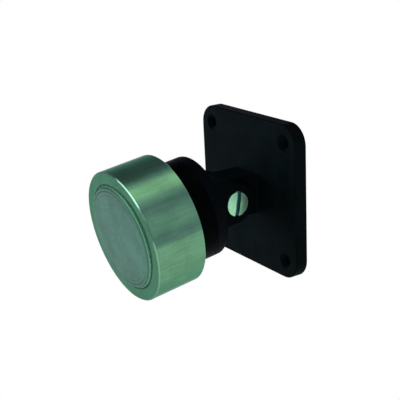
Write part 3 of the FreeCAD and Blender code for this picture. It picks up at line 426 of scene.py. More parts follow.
class Wiring:
    """Adds and joins nodes in one node tree."""

    def __init__(self, tree: bpy.types.NodeTree) -> None:
        """Keep the node tree to fill."""
        self.tree = tree

    def feed(self, node: Node, values: dict[str | int, Value]) -> None:
        """Link or set a node's inputs.

        Args:
            node: the node.
            values: sockets to link or plain values, by input name or number.
        """
        for name, value in values.items():
            if isinstance(value, Socket):
                self.tree.links.new(value, node.inputs[name])
            else:
                node.inputs[name].default_value = value

    def add(self, kind: str, inputs: dict[str | int, Value] | None = None, **settings) -> Node:
        """Add a node.

        Args:
            kind: the node's type name.
            inputs: values or sockets for its inputs, by name or number.
            settings: the node's own properties.

        Returns:
            The new node.
        """
        node = self.tree.nodes.new(kind)
        for name, value in settings.items():
            setattr(node, name, value)
        self.feed(node, inputs or {})
        return node

    def maths(self, operation: str, *values: Value) -> Socket:
        """Return the result of a math node with the given inputs."""
        return self.add("ShaderNodeMath", dict(enumerate(values)), operation=operation).outputs[0]

    def plus(self, first: Value, second: Value) -> Socket:
        """Return the sum of two values."""
        return self.maths("ADD", first, second)

    def times(self, first: Value, second: Value) -> Socket:
        """Return the product of two values."""
        return self.maths("MULTIPLY", first, second)

    def spread(self, value: Socket, low: float, high: float, new_low: Value = 0.0,
               new_high: Value = 1.0) -> Socket:
        """Map a range to another one smoothly.

        Args:
            value: socket to map.
            low: start of the range.
            high: end of the range.
            new_low: result at the start.
            new_high: result at the end.

        Returns:
            The mapped socket.
        """
        node = self.add("ShaderNodeMapRange", {
            "Value": value, "From Min": low, "From Max": high, "To Min": new_low,
            "To Max": new_high}, interpolation_type="SMOOTHSTEP")
        return node.outputs["Result"]

    def blend(self, share: Socket, first: Value, second: Value) -> Socket:
        """Mix two colours.

        Args:
            share: share of the second colour.
            first: colour or socket.
            second: colour or socket.

        Returns:
            The mixed colour's socket.
        """
        first, second = (value if isinstance(value, Socket) else (*value, 1.0)
                         for value in (first, second))
        return self.add("ShaderNodeMix", {0: share, 6: first, 7: second}, data_type="RGBA").outputs[2]

    def weighted(self, *terms: tuple[Socket, float]) -> Socket:
        """Return the weighted sum of several values."""
        return reduce(self.plus, [self.times(value, share) for value, share in terms])

    def hypotenuse(self, first: Socket, second: Socket) -> Socket:
        """Return the length of a vector with two parts."""
        squares = [self.maths("POWER", value, 2.0) for value in (first, second)]
        return self.maths("SQRT", self.plus(*squares))

    def object_place(self) -> Socket:
        """Return the place in the object's own frame."""
        return self.add("ShaderNodeTexCoord").outputs["Object"]

    def shine(self, **inputs: Value) -> Socket:
        """Return a shining surface, white unless it is given a colour."""
        return self.add("ShaderNodeEmission", {"Color": grey(1.0), **inputs}).outputs[0]

    def parts(self, vector: Socket) -> bpy.types.NodeOutputs:
        """Return the X, Y and Z parts of a vector."""
        return self.add("ShaderNodeSeparateXYZ", {0: vector}).outputs

    def noise(self, vector: Socket, kind: Noise) -> Socket:
        """Return a noise in space, by the place in millimetres."""
        return self.add("ShaderNodeTexNoise", {"Vector": vector, **kind.inputs()}).outputs["Fac"]

    def mask(self, vector: Socket, kind: Noise) -> Socket:
        """Return a noise spread over its span, from 0 to 1."""
        return self.spread(self.noise(vector, kind), *kind.span)

    def rings(self, distance: Socket, kind: Noise) -> Socket:
        """Return a noise that changes only with a distance in millimetres."""
        inputs = {"W": distance, **kind.inputs()}
        return self.add("ShaderNodeTexNoise", inputs, noise_dimensions="1D").outputs["Fac"]


def new_material(name: str) -> tuple[bpy.types.Material, Wiring, Node]:
    """Start a material that has only its output.

    Args:
        name: the material's name.

    Returns:
        The material, its wiring and its output.
    """
    material = bpy.data.materials.new(name)
    material.use_nodes = True
    material.node_tree.nodes.clear()
    wiring = Wiring(material.node_tree)
    return material, wiring, wiring.add("ShaderNodeOutputMaterial")


FLOAT = "NodeSocketFloat"
VECTOR = "NodeSocketVector"


def shader_group(name: str, inputs: dict[str, str], outputs: dict[str, str]
                 ) -> tuple[Wiring, Node, Node]:
    """Start a shader node group.

    Args:
        name: the group's name.
        inputs: socket types by input name.
        outputs: socket types by output name.

    Returns:
        The group's wiring, its input node and its output node.
    """
    tree = bpy.data.node_groups.new(name, "ShaderNodeTree")
    for way, sockets in (("INPUT", inputs), ("OUTPUT", outputs)):
        for label, kind in sockets.items():
            tree.interface.new_socket(name=label, in_out=way, socket_type=kind)
    wiring = Wiring(tree)
    return wiring, wiring.add("NodeGroupInput"), wiring.add("NodeGroupOutput")


@dataclass
class Effects:
    """The shader node groups that several finishes share, with their measures."""

    coarse_rings: Noise = Noise(1.6, detail=2.0)
    fine_rings: Noise = Noise(7.0, detail=4.0, rough=0.7)
    streaks: Noise = Noise(1.0, rough=0.6)
    clouds: Noise = Noise(0.09, rough=0.55)
    streak_scale: Triple = (0.75, 0.07, 0.75)
    coarse_share: float = 0.35
    fine_share: float = 0.65
    height_share: float = 0.3
    streak_share: float = 0.3
    cloud_share: float = 0.4
    grain_detail: float = 4.0
    grain_rough: float = 0.65
    cell_share: float = 0.5
    grain_share: float = 0.5
    mottling: Noise = Noise(0.11, detail=4.0, rough=0.6)
    scratch_turn: Triple = (0.3, 0.5, 0.7)
    scratch_scale: Triple = (0.25, 3.0, 0.9)
    scratches: Noise = Noise(1.4, detail=2.0, span=(0.70, 0.74))
    patches: Noise = Noise(0.2, detail=2.0, span=(0.5, 0.62))
    specks: Noise = Noise(2.6, detail=2.0, span=(0.68, 0.76))

    def __post_init__(self) -> None:
        """Build every group once."""
        self.head_place = self._head_place()
        self.turning = self._turning()
        self.mould_grain = self._mould_grain()
        self.handling = self._handling()

    @staticmethod
    def _head_place() -> bpy.types.NodeTree:
        """Return the group that gives a place in the head's own frame, in millimetres."""
        wiring, start, end = shader_group(
            "head_place", {"Vector": VECTOR}, {"Place": VECTOR, "Along": FLOAT, "Radius": FLOAT})
        hinge = HingePlace()
        moved = wiring.add("ShaderNodeVectorMath", {
            0: start.outputs["Vector"], 1: (0.0, hinge.height * MM, 0.0)}, operation="ADD")
        turned = wiring.add("ShaderNodeVectorRotate", {
            "Vector": moved.outputs[0], "Angle": -math.radians(hinge.droop)}, rotation_type="X_AXIS")
        place = wiring.add("ShaderNodeVectorMath", {
            0: turned.outputs[0], "Scale": 1.0 / MM}, operation="SCALE").outputs[0]
        parts = wiring.parts(place)
        wiring.feed(end, {"Place": place, "Along": wiring.times(parts["Y"], -1.0),
                          "Radius": wiring.hypotenuse(parts["X"], parts["Z"])})
        return wiring.tree

    def _turning(self) -> bpy.types.NodeTree:
        """Return the group of fine ring marks that a lathe leaves, with clouds and drawn streaks."""
        wiring, start, end = shader_group(
            "turning_marks", {"Distance": FLOAT, "Place": VECTOR}, {"Height": FLOAT, "Shade": FLOAT})
        distance, place = start.outputs["Distance"], start.outputs["Place"]
        drawn = wiring.add("ShaderNodeMapping", {"Vector": place, "Scale": self.streak_scale}).outputs[0]
        height = wiring.weighted((wiring.rings(distance, self.coarse_rings), self.coarse_share),
                                 (wiring.rings(distance, self.fine_rings), self.fine_share))
        shade = wiring.weighted((height, self.height_share),
                                (wiring.noise(drawn, self.streaks), self.streak_share),
                                (wiring.noise(place, self.clouds), self.cloud_share))
        wiring.feed(end, {"Height": height, "Shade": shade})
        return wiring.tree

    def _mould_grain(self) -> bpy.types.NodeTree:
        """Return the group of spark-eroded grain and flow mottling on mouldings."""
        wiring, start, end = shader_group(
            "mould_grain", {"Place": VECTOR, "Fineness": FLOAT}, {"Height": FLOAT, "Mottle": FLOAT})
        place, fineness = start.outputs["Place"], start.outputs["Fineness"]
        cells = wiring.add("ShaderNodeTexVoronoi", {
            "Vector": place, "Scale": fineness}, feature="SMOOTH_F1").outputs["Distance"]
        grain = wiring.noise(place, Noise(fineness, self.grain_detail, self.grain_rough))
        wiring.feed(end, {"Height": wiring.weighted((cells, self.cell_share), (grain, self.grain_share)),
                          "Mottle": wiring.noise(place, self.mottling)})
        return wiring.tree

    def _handling(self) -> bpy.types.NodeTree:
        """Return the group of hairline scratches and settled dust."""
        wiring, start, end = shader_group(
            "handling_marks", {"Place": VECTOR}, {"Scratches": FLOAT, "Dust": FLOAT})
        place = start.outputs["Place"]
        stretched = wiring.add("ShaderNodeMapping", {
            "Vector": place, "Rotation": self.scratch_turn, "Scale": self.scratch_scale}).outputs[0]
        lines = wiring.times(wiring.mask(stretched, self.scratches), wiring.mask(place, self.patches))
        wiring.feed(end, {"Scratches": lines, "Dust": wiring.mask(place, self.specks)})
        return wiring.tree


@dataclass(frozen=True)
class Finish:
    """What every finish has: a name, a colour and a roughness."""

    name: str
    colour: Colour
    rough: float

    def build(self, effects: Effects) -> bpy.types.Material:
        """Make the material. Each kind of finish has its own way."""
        raise NotImplementedError


class Surface:
    """A material in the making, with its surface shader and the marks of handling."""

    def __init__(self, finish: Finish, effects: Effects) -> None:
        """Start the material.

        Args:
            finish: the finish that it shows.
            effects: the shared node groups.
        """
        self.material, self.wiring, output = new_material(f"{finish.name}_finish")
        self.shader = self.wiring.add("ShaderNodeBsdfPrincipled", {
            "Base Color": (*finish.colour, 1.0), "Roughness": finish.rough})
        self.wiring.feed(output, {"Surface": self.shader.outputs[0]})
        self.place = self.group(effects.head_place, Vector=self.wiring.object_place())
        self.marks = self.group(effects.handling, Place=self.place["Place"])

    def group(self, tree: bpy.types.NodeTree, **inputs: Value) -> bpy.types.NodeOutputs:
        """Add a shared node group and return its outputs."""
        return self.wiring.add("ShaderNodeGroup", inputs, node_tree=tree).outputs

    def coat(self, colour: Socket, rough: Socket, height: Socket, depth: float) -> bpy.types.Material:
        """Give the surface its colour, its roughness and its relief.

        Args:
            colour: the colour's socket.
            rough: the roughness's socket.
            height: height between 0 and 1.
            depth: height of 1, in millimetres.

        Returns:
            The finished material.
        """
        bump = self.wiring.add("ShaderNodeBump", {"Height": height, "Distance": depth * MM})
        self.wiring.feed(self.shader, {
            "Base Color": colour, "Roughness": rough, "Normal": bump.outputs[0]})
        return self.material


@dataclass(frozen=True)
class TurnedSteel(Finish):
    """Steel from the lathe, thinly plated, with ring marks and bruised rims."""

    direction: Direction = Direction.ALONG_AXIS
    mark_depth: float = 0.012
    edge_tint: Colour = (0.58, 0.90, 0.70)
    dark_share: float = 0.78
    light_share: float = 1.12
    shade_span: Span = (0.36, 0.64)
    rough_span: Span = (0.3, 0.7)
    rough_shares: Span = (1.2, 0.85)
    dust_rough: float = 0.2
    # Station and radius of each worn rim
    rims: tuple[Point, ...] = ()
    bare: Colour = (0.26, 0.52, 0.38)
    bare_share: float = 0.9
    rim_span: Span = (0.5, 0.25)
    rim_noise: Noise = Noise(0.8)
    rim_ragged: float = 0.2
    # The rings are real turning marks; showing them only towards the top and bottom of the face is
    # painted reflection
    # Radius and strength of each fine ring
    fine_rings: tuple[Point, ...] = ()
    ring_share: float = 0.25
    ring_span: Span = (0.4, 0.15)
    ring_upright: Span = (0.35, 0.9)
    dull_from: float = 0.0
    dull_fade: float = 0.2
    dull_share: float = 0.76
    dull_rough: float = 0.3
    # Painted light: from this radius out, the disc's side wall takes a lighter colour than the face
    step_from: float = 0.0
    step_fade: float = 0.1
    step_painted_light: Colour = (0.31, 0.66, 0.50)

    def build(self, effects: Effects) -> bpy.types.Material:
        """Make the material.

        Args:
            effects: the shared node groups.

        Returns:
            The finished material.
        """
        surface = Surface(self, effects)
        wiring, radius = surface.wiring, surface.place["Radius"]
        wiring.feed(surface.shader, {"Metallic": 1.0, "Specular Tint": (*self.edge_tint, 1.0)})
        turning = surface.group(effects.turning, Distance=surface.place[self.direction.value],
                                Place=surface.place["Place"])
        shade, light = turning["Shade"], scaled(self.colour, self.light_share)
        rough = wiring.spread(shade, *self.rough_span,
                              *(self.rough * share for share in self.rough_shares))
        tone = wiring.blend(wiring.spread(shade, *self.shade_span),
                            scaled(self.colour, self.dark_share), light)
        for rim in self.rims:
            tone = wiring.blend(self.worn_rim(surface, rim), tone, self.bare)
        for ring in self.fine_rings:
            tone = wiring.blend(self.ring_line(surface, ring), tone, scaled(self.colour, self.ring_share))
        tone = wiring.blend(surface.marks["Scratches"], tone, light)
        if self.dull_from:
            dull = wiring.spread(radius, self.dull_from, self.dull_from + self.dull_fade)
            tone = wiring.blend(dull, tone, scaled(self.colour, self.dull_share))
            rough = wiring.plus(rough, wiring.times(dull, self.dull_rough))
        # Painted light on the disc's side wall
        if self.step_from:
            step = wiring.spread(radius, self.step_from, self.step_from + self.step_fade)
            tone = wiring.blend(step, tone, self.step_painted_light)
        rough = wiring.plus(rough, wiring.times(surface.marks["Dust"], self.dust_rough))
        return surface.coat(tone, rough, turning["Height"], self.mark_depth)

    def worn_rim(self, surface: Surface, rim: Point) -> Socket:
        """Find the bare metal along one sharp rim.

        Args:
            surface: the surface in the making.
            rim: the rim's station and radius.

        Returns:
            The share of bare metal.
        """
        wiring, place = surface.wiring, surface.place
        distance = wiring.hypotenuse(*(wiring.maths("SUBTRACT", place[label], value)
                                       for label, value in zip(("Along", "Radius"), rim)))
        ragged = wiring.times(wiring.noise(place["Place"], self.rim_noise), self.rim_ragged)
        share = wiring.spread(wiring.plus(distance, ragged), *self.rim_span)
        return wiring.times(share, self.bare_share)

    def ring_line(self, surface: Surface, ring: Point) -> Socket:
        """Draw one fine dark ring, which fades at the sides of the face.

        Args:
            surface: the surface in the making.
            ring: the ring's radius and its strength.

        Returns:
            The ring's share.
        """
        wiring, radius, (middle, strength) = surface.wiring, surface.place["Radius"], ring
        away = wiring.maths("ABSOLUTE", wiring.maths("SUBTRACT", radius, middle))
        up = wiring.parts(surface.place["Place"])["Z"]
        slope = wiring.maths("ABSOLUTE", wiring.maths("DIVIDE", up, radius))
        # Partly painted reflection: the real rings are darkened only where light picks them out, near the
        # top and bottom
        upright = wiring.times(wiring.spread(slope, *self.ring_upright), strength)
        return wiring.times(wiring.spread(away, *self.ring_span), upright)


@dataclass(frozen=True)
class Moulding(Finish):
    """Moulded plastic or rubber with grain, mottling and a little dust."""

    gloss: float = 0.2
    grain: float = 4.0
    grain_depth: float = 0.03
    dust: Colour = (0.05, 0.055, 0.055)
    dust_share: float = 0.25
    scratch_share: float = 0.2
    dark_share: float = 0.75
    light_share: float = 1.25
    mottle_span: Span = (0.3, 0.7)
    rough_change: float = 0.12

    def build(self, effects: Effects) -> bpy.types.Material:
        """Make the material.

        Args:
            effects: the shared node groups.

        Returns:
            The finished material.
        """
        surface = Surface(self, effects)
        wiring = surface.wiring
        wiring.feed(surface.shader, {"Specular IOR Level": self.gloss})
        grain = surface.group(effects.mould_grain, Place=surface.place["Place"], Fineness=self.grain)
        mottle = wiring.spread(grain["Mottle"], *self.mottle_span)
        tone = wiring.blend(mottle, scaled(self.colour, self.dark_share),
                            scaled(self.colour, self.light_share))
        for mark, share in (("Dust", self.dust_share), ("Scratches", self.scratch_share)):
            tone = wiring.blend(wiring.times(surface.marks[mark], share), tone, self.dust)
        rough = wiring.maths("MULTIPLY_ADD", mottle, self.rough_change,
                             self.rough - self.rough_change / 2.0)
        return surface.coat(tone, rough, grain["Height"], self.grain_depth)


@dataclass(frozen=True)
class Metal(Finish):
    """Small metal parts: plated, blackened, brass or copper."""

    stain: float = 0.25
    clouds: Noise = Noise(0.5, detail=4.0, rough=0.6, span=(0.3, 0.7))
    mark_depth: float = 0.01
    pitting: Noise = Noise(6.0)
    # Painted shade: the colour laid where ambient occlusion finds slots, threads and corners
    crevice_shade: Colour = (0.14, 0.32, 0.32)
    crevice_width: float = 2.6
    crevice_span: Span = (0.85, 0.6)
    scratch_share: float = 0.5
    scratch_light: float = 1.3
    rough_change: float = 0.1

    def build(self, effects: Effects) -> bpy.types.Material:
        """Make the material.

        Args:
            effects: the shared node groups.

        Returns:
            The finished material.
        """
        surface = Surface(self, effects)
        wiring, place = surface.wiring, surface.place["Place"]
        wiring.feed(surface.shader, {"Metallic": 1.0})
        cloud = wiring.mask(place, self.clouds)
        tone = wiring.blend(cloud, scaled(self.colour, 1.0 - self.stain), self.colour)
        scratches = wiring.times(surface.marks["Scratches"], self.scratch_share)
        tone = wiring.blend(scratches, tone, scaled(self.colour, self.scratch_light))
        # Painted shade in slots, threads and corners
        tone = wiring.blend(self.crevice_shading(wiring), tone, self.crevice_shade)
        rough = wiring.maths("MULTIPLY_ADD", cloud, -self.rough_change,
                             self.rough + self.rough_change / 2.0)
        return surface.coat(tone, rough, wiring.noise(place, self.pitting), self.mark_depth)

    def crevice_shading(self, wiring: Wiring) -> Socket:
        """Return the share of painted shade in slots, threads and corners, found by ambient occlusion."""
        shelter = wiring.add("ShaderNodeAmbientOcclusion", {"Distance": self.crevice_width * MM})
        return wiring.spread(shelter.outputs["AO"], *self.crevice_span)


PALE_DUST: Colour = (0.3, 0.3, 0.28)


def small_plastic(name: str, colour: Colour, rough: float, depth: float = 0.003, **changes) -> Moulding:
    """Return the finish of a small shiny moulding with hardly any grain."""
    return Moulding(name, colour, rough, gloss=0.4, grain_depth=depth, **changes)


FINISHES: dict[str, Finish] = {finish.name: finish for finish in (
    Moulding("black_moulding", (0.0030, 0.0064, 0.0076), 0.45, gloss=0.012),
    # Painted light: the fork's copy of the plate's moulding, a little lighter and bluer to stand in for
    # the light on it
    Moulding("black_moulding_head", (0.0036, 0.0064, 0.0090), 0.45, gloss=0.012),
    Moulding("black_smooth", (0.0012, 0.0018, 0.0026), 0.3, gloss=0.01, grain=1.5, grain_depth=0.006),
    Metal("brass_turned", (0.55, 0.42, 0.14), 0.3),
    small_plastic("washer_plastic", (0.55, 0.56, 0.5), 0.35, 0.004, dust=PALE_DUST),
    Metal("plated_screw", (0.48, 1.0, 0.68), 0.40, stain=0.12, mark_depth=0.004),
    Metal("dark_screw", (0.03, 0.036, 0.036), 0.42, crevice_shade=(0.01, 0.012, 0.012)),
    Moulding("grommet_rubber", (0.003, 0.004, 0.004), 0.6, gloss=0.15),
    TurnedSteel("turned_steel", (0.166, 0.388, 0.257), 0.13, rims=((25.75, 26.75), (46.75, 26.75))),
    TurnedSteel("turned_steel_face", (0.140, 0.380, 0.272), 0.3, Direction.ACROSS_FACE,
                edge_tint=(1.0, 1.0, 1.0), dull_from=20.4, step_from=21.1,
                fine_rings=((19.5, 0.8), (17.9, 0.25))),
    small_plastic("bobbin_plastic", (0.5, 0.46, 0.36), 0.45, 0.004, dust=(0.3, 0.28, 0.24)),
    Metal("winding_copper", (0.62, 0.22, 0.08), 0.3),
    Moulding("dark_resin", (0.05, 0.13, 0.10), 0.5, gloss=0.08, grain_depth=0.01),
    small_plastic("lead_red", (0.35, 0.015, 0.01), 0.4),
    small_plastic("lead_black", (0.006, 0.006, 0.006), 0.4),
    small_plastic("block_plastic", (0.5, 0.5, 0.45), 0.4, 0.004, dust=PALE_DUST),
    small_plastic("diode_body", (0.006, 0.006, 0.006), 0.3),
)}


@dataclass
class Assembly:
    """What every sub-assembly has: the finishes by slot."""

    dress: Dress

    def build(self) -> None:
        """Make and dress the pieces. Each sub-assembly has its own."""
        raise NotImplementedError


@dataclass
class WallPlate(Assembly):
    """Square wall plate with ribs behind and the hinge lug in front, one moulding."""

    width: float = 65.0
    thick: float = 5.5
    corner: float = 8.5
    edge_round: float = 0.7
    back_round: float = 0.3
    skin: float = 2.5
    rim: float = 2.6
    rib: float = 1.8
    hole_place: float = 25.0
    hole_radius: float = 2.0
    mouth_radius: float = 3.4
    boss_radius: float = 6.0
    lug_width: float = 15.0
    lug_radius: float = 8.5
    lug_round: float = 0.35
    lug_root: float = 1.2
    core_wall: float = 2.2
    core_depth: float = 9.5
    bush_radius: float = 4.5

    def build(self) -> None:
        """Mould the plate."""
        hinge, half = HingePlace().height, self.lug_width / 2.0
        plate = Form.loft(round_plate(self.width, self.width, self.corner),
                          rounded_ends(0.0, self.thick, self.back_round, self.edge_round))
        lug = Form.loft(tongue(self.lug_radius, hinge - self.thick / 2.0),
                        rounded_ends(-half, half, self.lug_round, self.lug_round),
                        Facing.RIGHT, (-hinge, 0.0))
        root = Form.loft(round_plate(self.lug_width, 2.0 * self.lug_radius, self.lug_round),
                         flared_root(self.thick, 1.0, self.lug_root))
        bush_seat = Form.lathe(rod_profile(-self.lug_width, self.lug_width, self.bush_radius),
                               Facing.RIGHT, (-hinge, 0.0))
        plate.join(lug, root).cut(self.hollow(), *self.lug_cores(), bush_seat, *self.wall_holes())
        plate.finish("wall_plate", Body.BASE, "base_plate", "black_moulding", self.dress)

    def hole_places(self) -> list[Point]:
        """Return the places of the four wall holes."""
        return corner_places(self.hole_place, self.hole_place)

    def hollow(self) -> Form:
        """Return the cutter of the hollow back, which leaves ribs, bosses and the lug's foot."""
        inner, depth = self.width - 2.0 * self.rim, self.thick - self.skin
        start, end = -2.0 * CLEAR, depth + CLEAR
        hollow = Form.straight(round_plate(inner, inner, self.corner - self.rim), -CLEAR, depth)
        walls = ((self.lug_width, 2.0 * self.lug_radius), (self.width, self.rib), (self.rib, self.width))
        kept = [Form.straight(round_plate(*size, SMALLEST_ROUND), start, end) for size in walls]
        return hollow.cut(*kept, *Form.pins(self.boss_radius, start, end, self.hole_places()))

    def lug_cores(self) -> list[Form]:
        """Return the cutters of the two pockets up into the lug."""
        outer, inner = self.lug_width / 2.0 - self.core_wall, self.rib / 2.0
        shape = round_plate(outer - inner, 2.0 * (self.lug_radius - self.core_wall), self.lug_round)
        return [Form.straight(shape, -CLEAR, self.core_depth, at=(side * (outer + inner) / 2.0, 0.0))
                for side in (-1.0, 1.0)]

    def wall_holes(self) -> list[Form]:
        """Return the cutters of the four countersunk holes."""
        sunk, top = self.mouth_radius - self.hole_radius, self.thick + CLEAR
        profile = [(-CLEAR, 0.0, 0.0), (-CLEAR, self.hole_radius, 0.0),
                   (self.thick - sunk, self.hole_radius, 0.0),
                   (top, self.mouth_radius + CLEAR, 0.0), (top, 0.0, 0.0)]
        return [Form.lathe(profile, at=place, steps=SMALL_RING_STEPS) for place in self.hole_places()]


@dataclass(frozen=True)
class HeadPlan:
    """Stations out from the hinge and sizes that the head's pieces share."""

    flange_back: float = 10.6
    flange_front: float = 15.7
    spigot_front: float = 16.9
    housing_floor: float = 23.5
    housing_front: float = 25.5
    pot_floor: float = 31.5
    pot_front: float = 47.0
    face_front: float = 48.2
    housing_radius: float = 21.4
    cavity_radius: float = 19.0
    screw_radius: float = 3.0
    screw_clear: float = 3.1
    screw_place: Point = (10.4047, 13.3174)
    screw_hole: float = 1.6
    lead_place: Point = (3.75, 14.2)
    lead_hole: float = 1.2
    entry_station: float = 20.2
    ear_inside: float = 8.0
    ear_outside: float = 12.8
    head_seat: float = 10.1
    head_radius: float = 5.1

    def screw_places(self) -> list[Point]:
        """Return the places of the four flange screws."""
        return corner_places(*self.screw_place)

    def lead_cutters(self, start: float, end: float) -> list[Form]:
        """Return the cutters of the two lead holes between two stations."""
        across, up = self.lead_place
        return Form.pins(self.lead_hole, start, end, ((across, up), (-across, up)))


PLAN = HeadPlan()


@dataclass
class SwivelFork(Assembly):
    """Round flange with the two ears that clasp the lug, one moulding."""

    recess_radius: float = 10.0
    recess_station: float = 14.5
    seat_fit: float = 0.1
    seat_steps: int = 128
    back_round: float = 1.0
    front_round: float = 0.25
    ear_radius: float = 8.5
    ear_round: float = 0.6
    ear_inner_round: float = 0.25
    ear_root: float = 0.4
    mouth_round: float = 0.25
    nut_half_flats: float = 5.1
    nut_seat: float = 9.4
    sink_radius: float = 2.9

    def build(self) -> None:
        """Mould the fork."""
        spigot, outside = PLAN.cavity_radius - self.seat_fit, PLAN.ear_outside
        flange = Form.lathe([
            (PLAN.flange_back, 0.0, 0.0), (PLAN.flange_back, PLAN.housing_radius, self.back_round),
            (PLAN.flange_front, PLAN.housing_radius, self.front_round), (PLAN.flange_front, spigot, 0.0),
            (PLAN.spigot_front, spigot, self.front_round), (PLAN.spigot_front, self.recess_radius, 0.0),
            (self.recess_station, self.recess_radius, 0.0), (self.recess_station, 0.0, 0.0)])
        bore = Form.lathe(rod_profile(-outside - CLEAR, outside + CLEAR, PLAN.screw_clear),
                          Facing.RIGHT, steps=SMALL_RING_STEPS)
        seat = Form.loft(disc(PLAN.head_radius + self.seat_fit, self.seat_steps),
                         flared_mouth(PLAN.head_seat, outside, self.mouth_round), Facing.RIGHT)
        nut_seat = Form.loft(hexagon(self.nut_half_flats),
                             flared_mouth(-self.nut_seat, -outside, self.mouth_round), Facing.RIGHT)
        flange.join(*self.ears()).cut(bore, seat, nut_seat, *self.screw_holes())
        # The fork wears the lighter, bluer copy of the plate's moulding, which is painted light
        flange.finish("fork_moulding", Body.HEAD, "swivel_fork", "black_moulding_head", self.dress)

    def ears(self) -> list[Form]:
        """Return both ears, each with the skirt that rounds its root."""
        inside, outside = PLAN.ear_inside, PLAN.ear_outside
        shape = tongue(self.ear_radius, -PLAN.flange_back - self.back_round)
        foot = round_plate(outside - inside, 2.0 * self.ear_radius, self.ear_inner_round)
        skirt = flared_root(PLAN.flange_back, -1.0, self.ear_root)
        levels = (rounded_ends(inside, outside, self.ear_inner_round, self.ear_round),
                  rounded_ends(-outside, -inside, self.ear_round, self.ear_inner_round))
        middle = (outside + inside) / 2.0
        return [*(Form.loft(shape, ear, Facing.RIGHT) for ear in levels),
                *(Form.loft(foot, skirt, at=(place, 0.0)) for place in (middle, -middle))]

    def screw_holes(self) -> list[Form]:
        """Return the cutters of the four countersunk holes for the flange screws."""
        start, end = PLAN.flange_back - CLEAR, PLAN.spigot_front + CLEAR
        narrow = PLAN.flange_back + self.sink_radius - PLAN.screw_hole
        profile = [(start, 0.0, 0.0), (start, self.sink_radius + CLEAR, 0.0),
                   (narrow, PLAN.screw_hole, 0.0), (end, PLAN.screw_hole, 0.0), (end, 0.0, 0.0)]
        return [Form.lathe(profile, at=place, steps=CIRCLE_STEPS) for place in PLAN.screw_places()]


@dataclass
class RearHousing(Assembly):
    """Smooth round cup between the fork and the magnet, with its rubber grommet."""

    rim_round: float = 0.25
    inner_round: float = 0.3
    boss_radius: float = 2.5
    fence_width: float = 15.2
    fence_height: float = 9.2
    fence_thick: float = 1.0
    fence_high: float = 2.0
    neck_radius: float = 2.6
    collar_radius: float = 3.7
    seat_fit: float = 0.1
    seat_level: float = 20.8
    collar_end: float = 22.1
    bore_radius: float = 1.9
    lip: float = 0.6
    joint_gap: float = 0.02

    def build(self) -> None:
        """Mould the cup and turn the grommet."""
        floor, front = PLAN.housing_floor, PLAN.housing_front
        cup = Form.lathe([
            (PLAN.flange_front, PLAN.cavity_radius, 0.0),
            (PLAN.flange_front, PLAN.housing_radius, self.rim_round),
            (front, PLAN.housing_radius, self.rim_round), (front, 0.0, 0.0),
            (floor, 0.0, 0.0), (floor, PLAN.cavity_radius, self.inner_round)])
        places, at = PLAN.screw_places(), (0.0, PLAN.entry_station)
        bosses = Form.pins(self.boss_radius, PLAN.spigot_front, floor + CLEAR, places)
        holes = Form.pins(PLAN.screw_hole, PLAN.flange_front, front + CLEAR, places)
        leads = PLAN.lead_cutters(floor - CLEAR, front + CLEAR)
        entry = Form.straight(disc(self.neck_radius), PLAN.cavity_radius - self.neck_radius,
                              self.seat_level + CLEAR, Facing.DOWN, at)
        seat = Form.straight(disc(self.collar_radius + self.seat_fit), self.seat_level,
                             PLAN.housing_radius + CLEAR, Facing.DOWN, at)
        cup.join(*bosses, self.fence()).cut(*holes, *leads, entry, seat)
        cup.finish("housing_cup", Body.HEAD, "rear_housing", "black_smooth", self.dress)
        self.grommet()

    def fence(self) -> Form:
        """Return the fence that the terminal block stands in."""
        start, end = PLAN.housing_floor - self.fence_high, PLAN.housing_floor + CLEAR / 2.0
        inside = round_plate(self.fence_width, self.fence_height, SMALLEST_ROUND)
        outside = round_plate(self.fence_width + 2.0 * self.fence_thick,
                              self.fence_height + 2.0 * self.fence_thick, self.inner_round)
        return Form.straight(outside, start, end).cut(Form.straight(inside, start - CLEAR, end + CLEAR))

    def grommet(self) -> None:
        """Turn the grommet in the cable entry."""
        neck = self.neck_radius - self.joint_gap
        lip_radius = neck + self.lip
        lip_level = math.sqrt(PLAN.cavity_radius ** 2 - lip_radius ** 2) - self.joint_gap
        ring = Form.lathe([
            (self.collar_end, self.bore_radius, self.inner_round),
            (self.collar_end, self.collar_radius, self.inner_round),
            (self.seat_level, self.collar_radius, 0.0), (self.seat_level, neck, 0.0),
            (lip_level, neck, 0.0), (lip_level, lip_radius, 0.0),
            (lip_level - self.lip, neck, 0.0), (lip_level - self.lip, self.bore_radius, 0.0)],
            Facing.DOWN, (0.0, PLAN.entry_station), SMALL_RING_STEPS)
        ring.finish("grommet_ring", Body.HEAD, "cable_grommet", "grommet_rubber", self.dress)


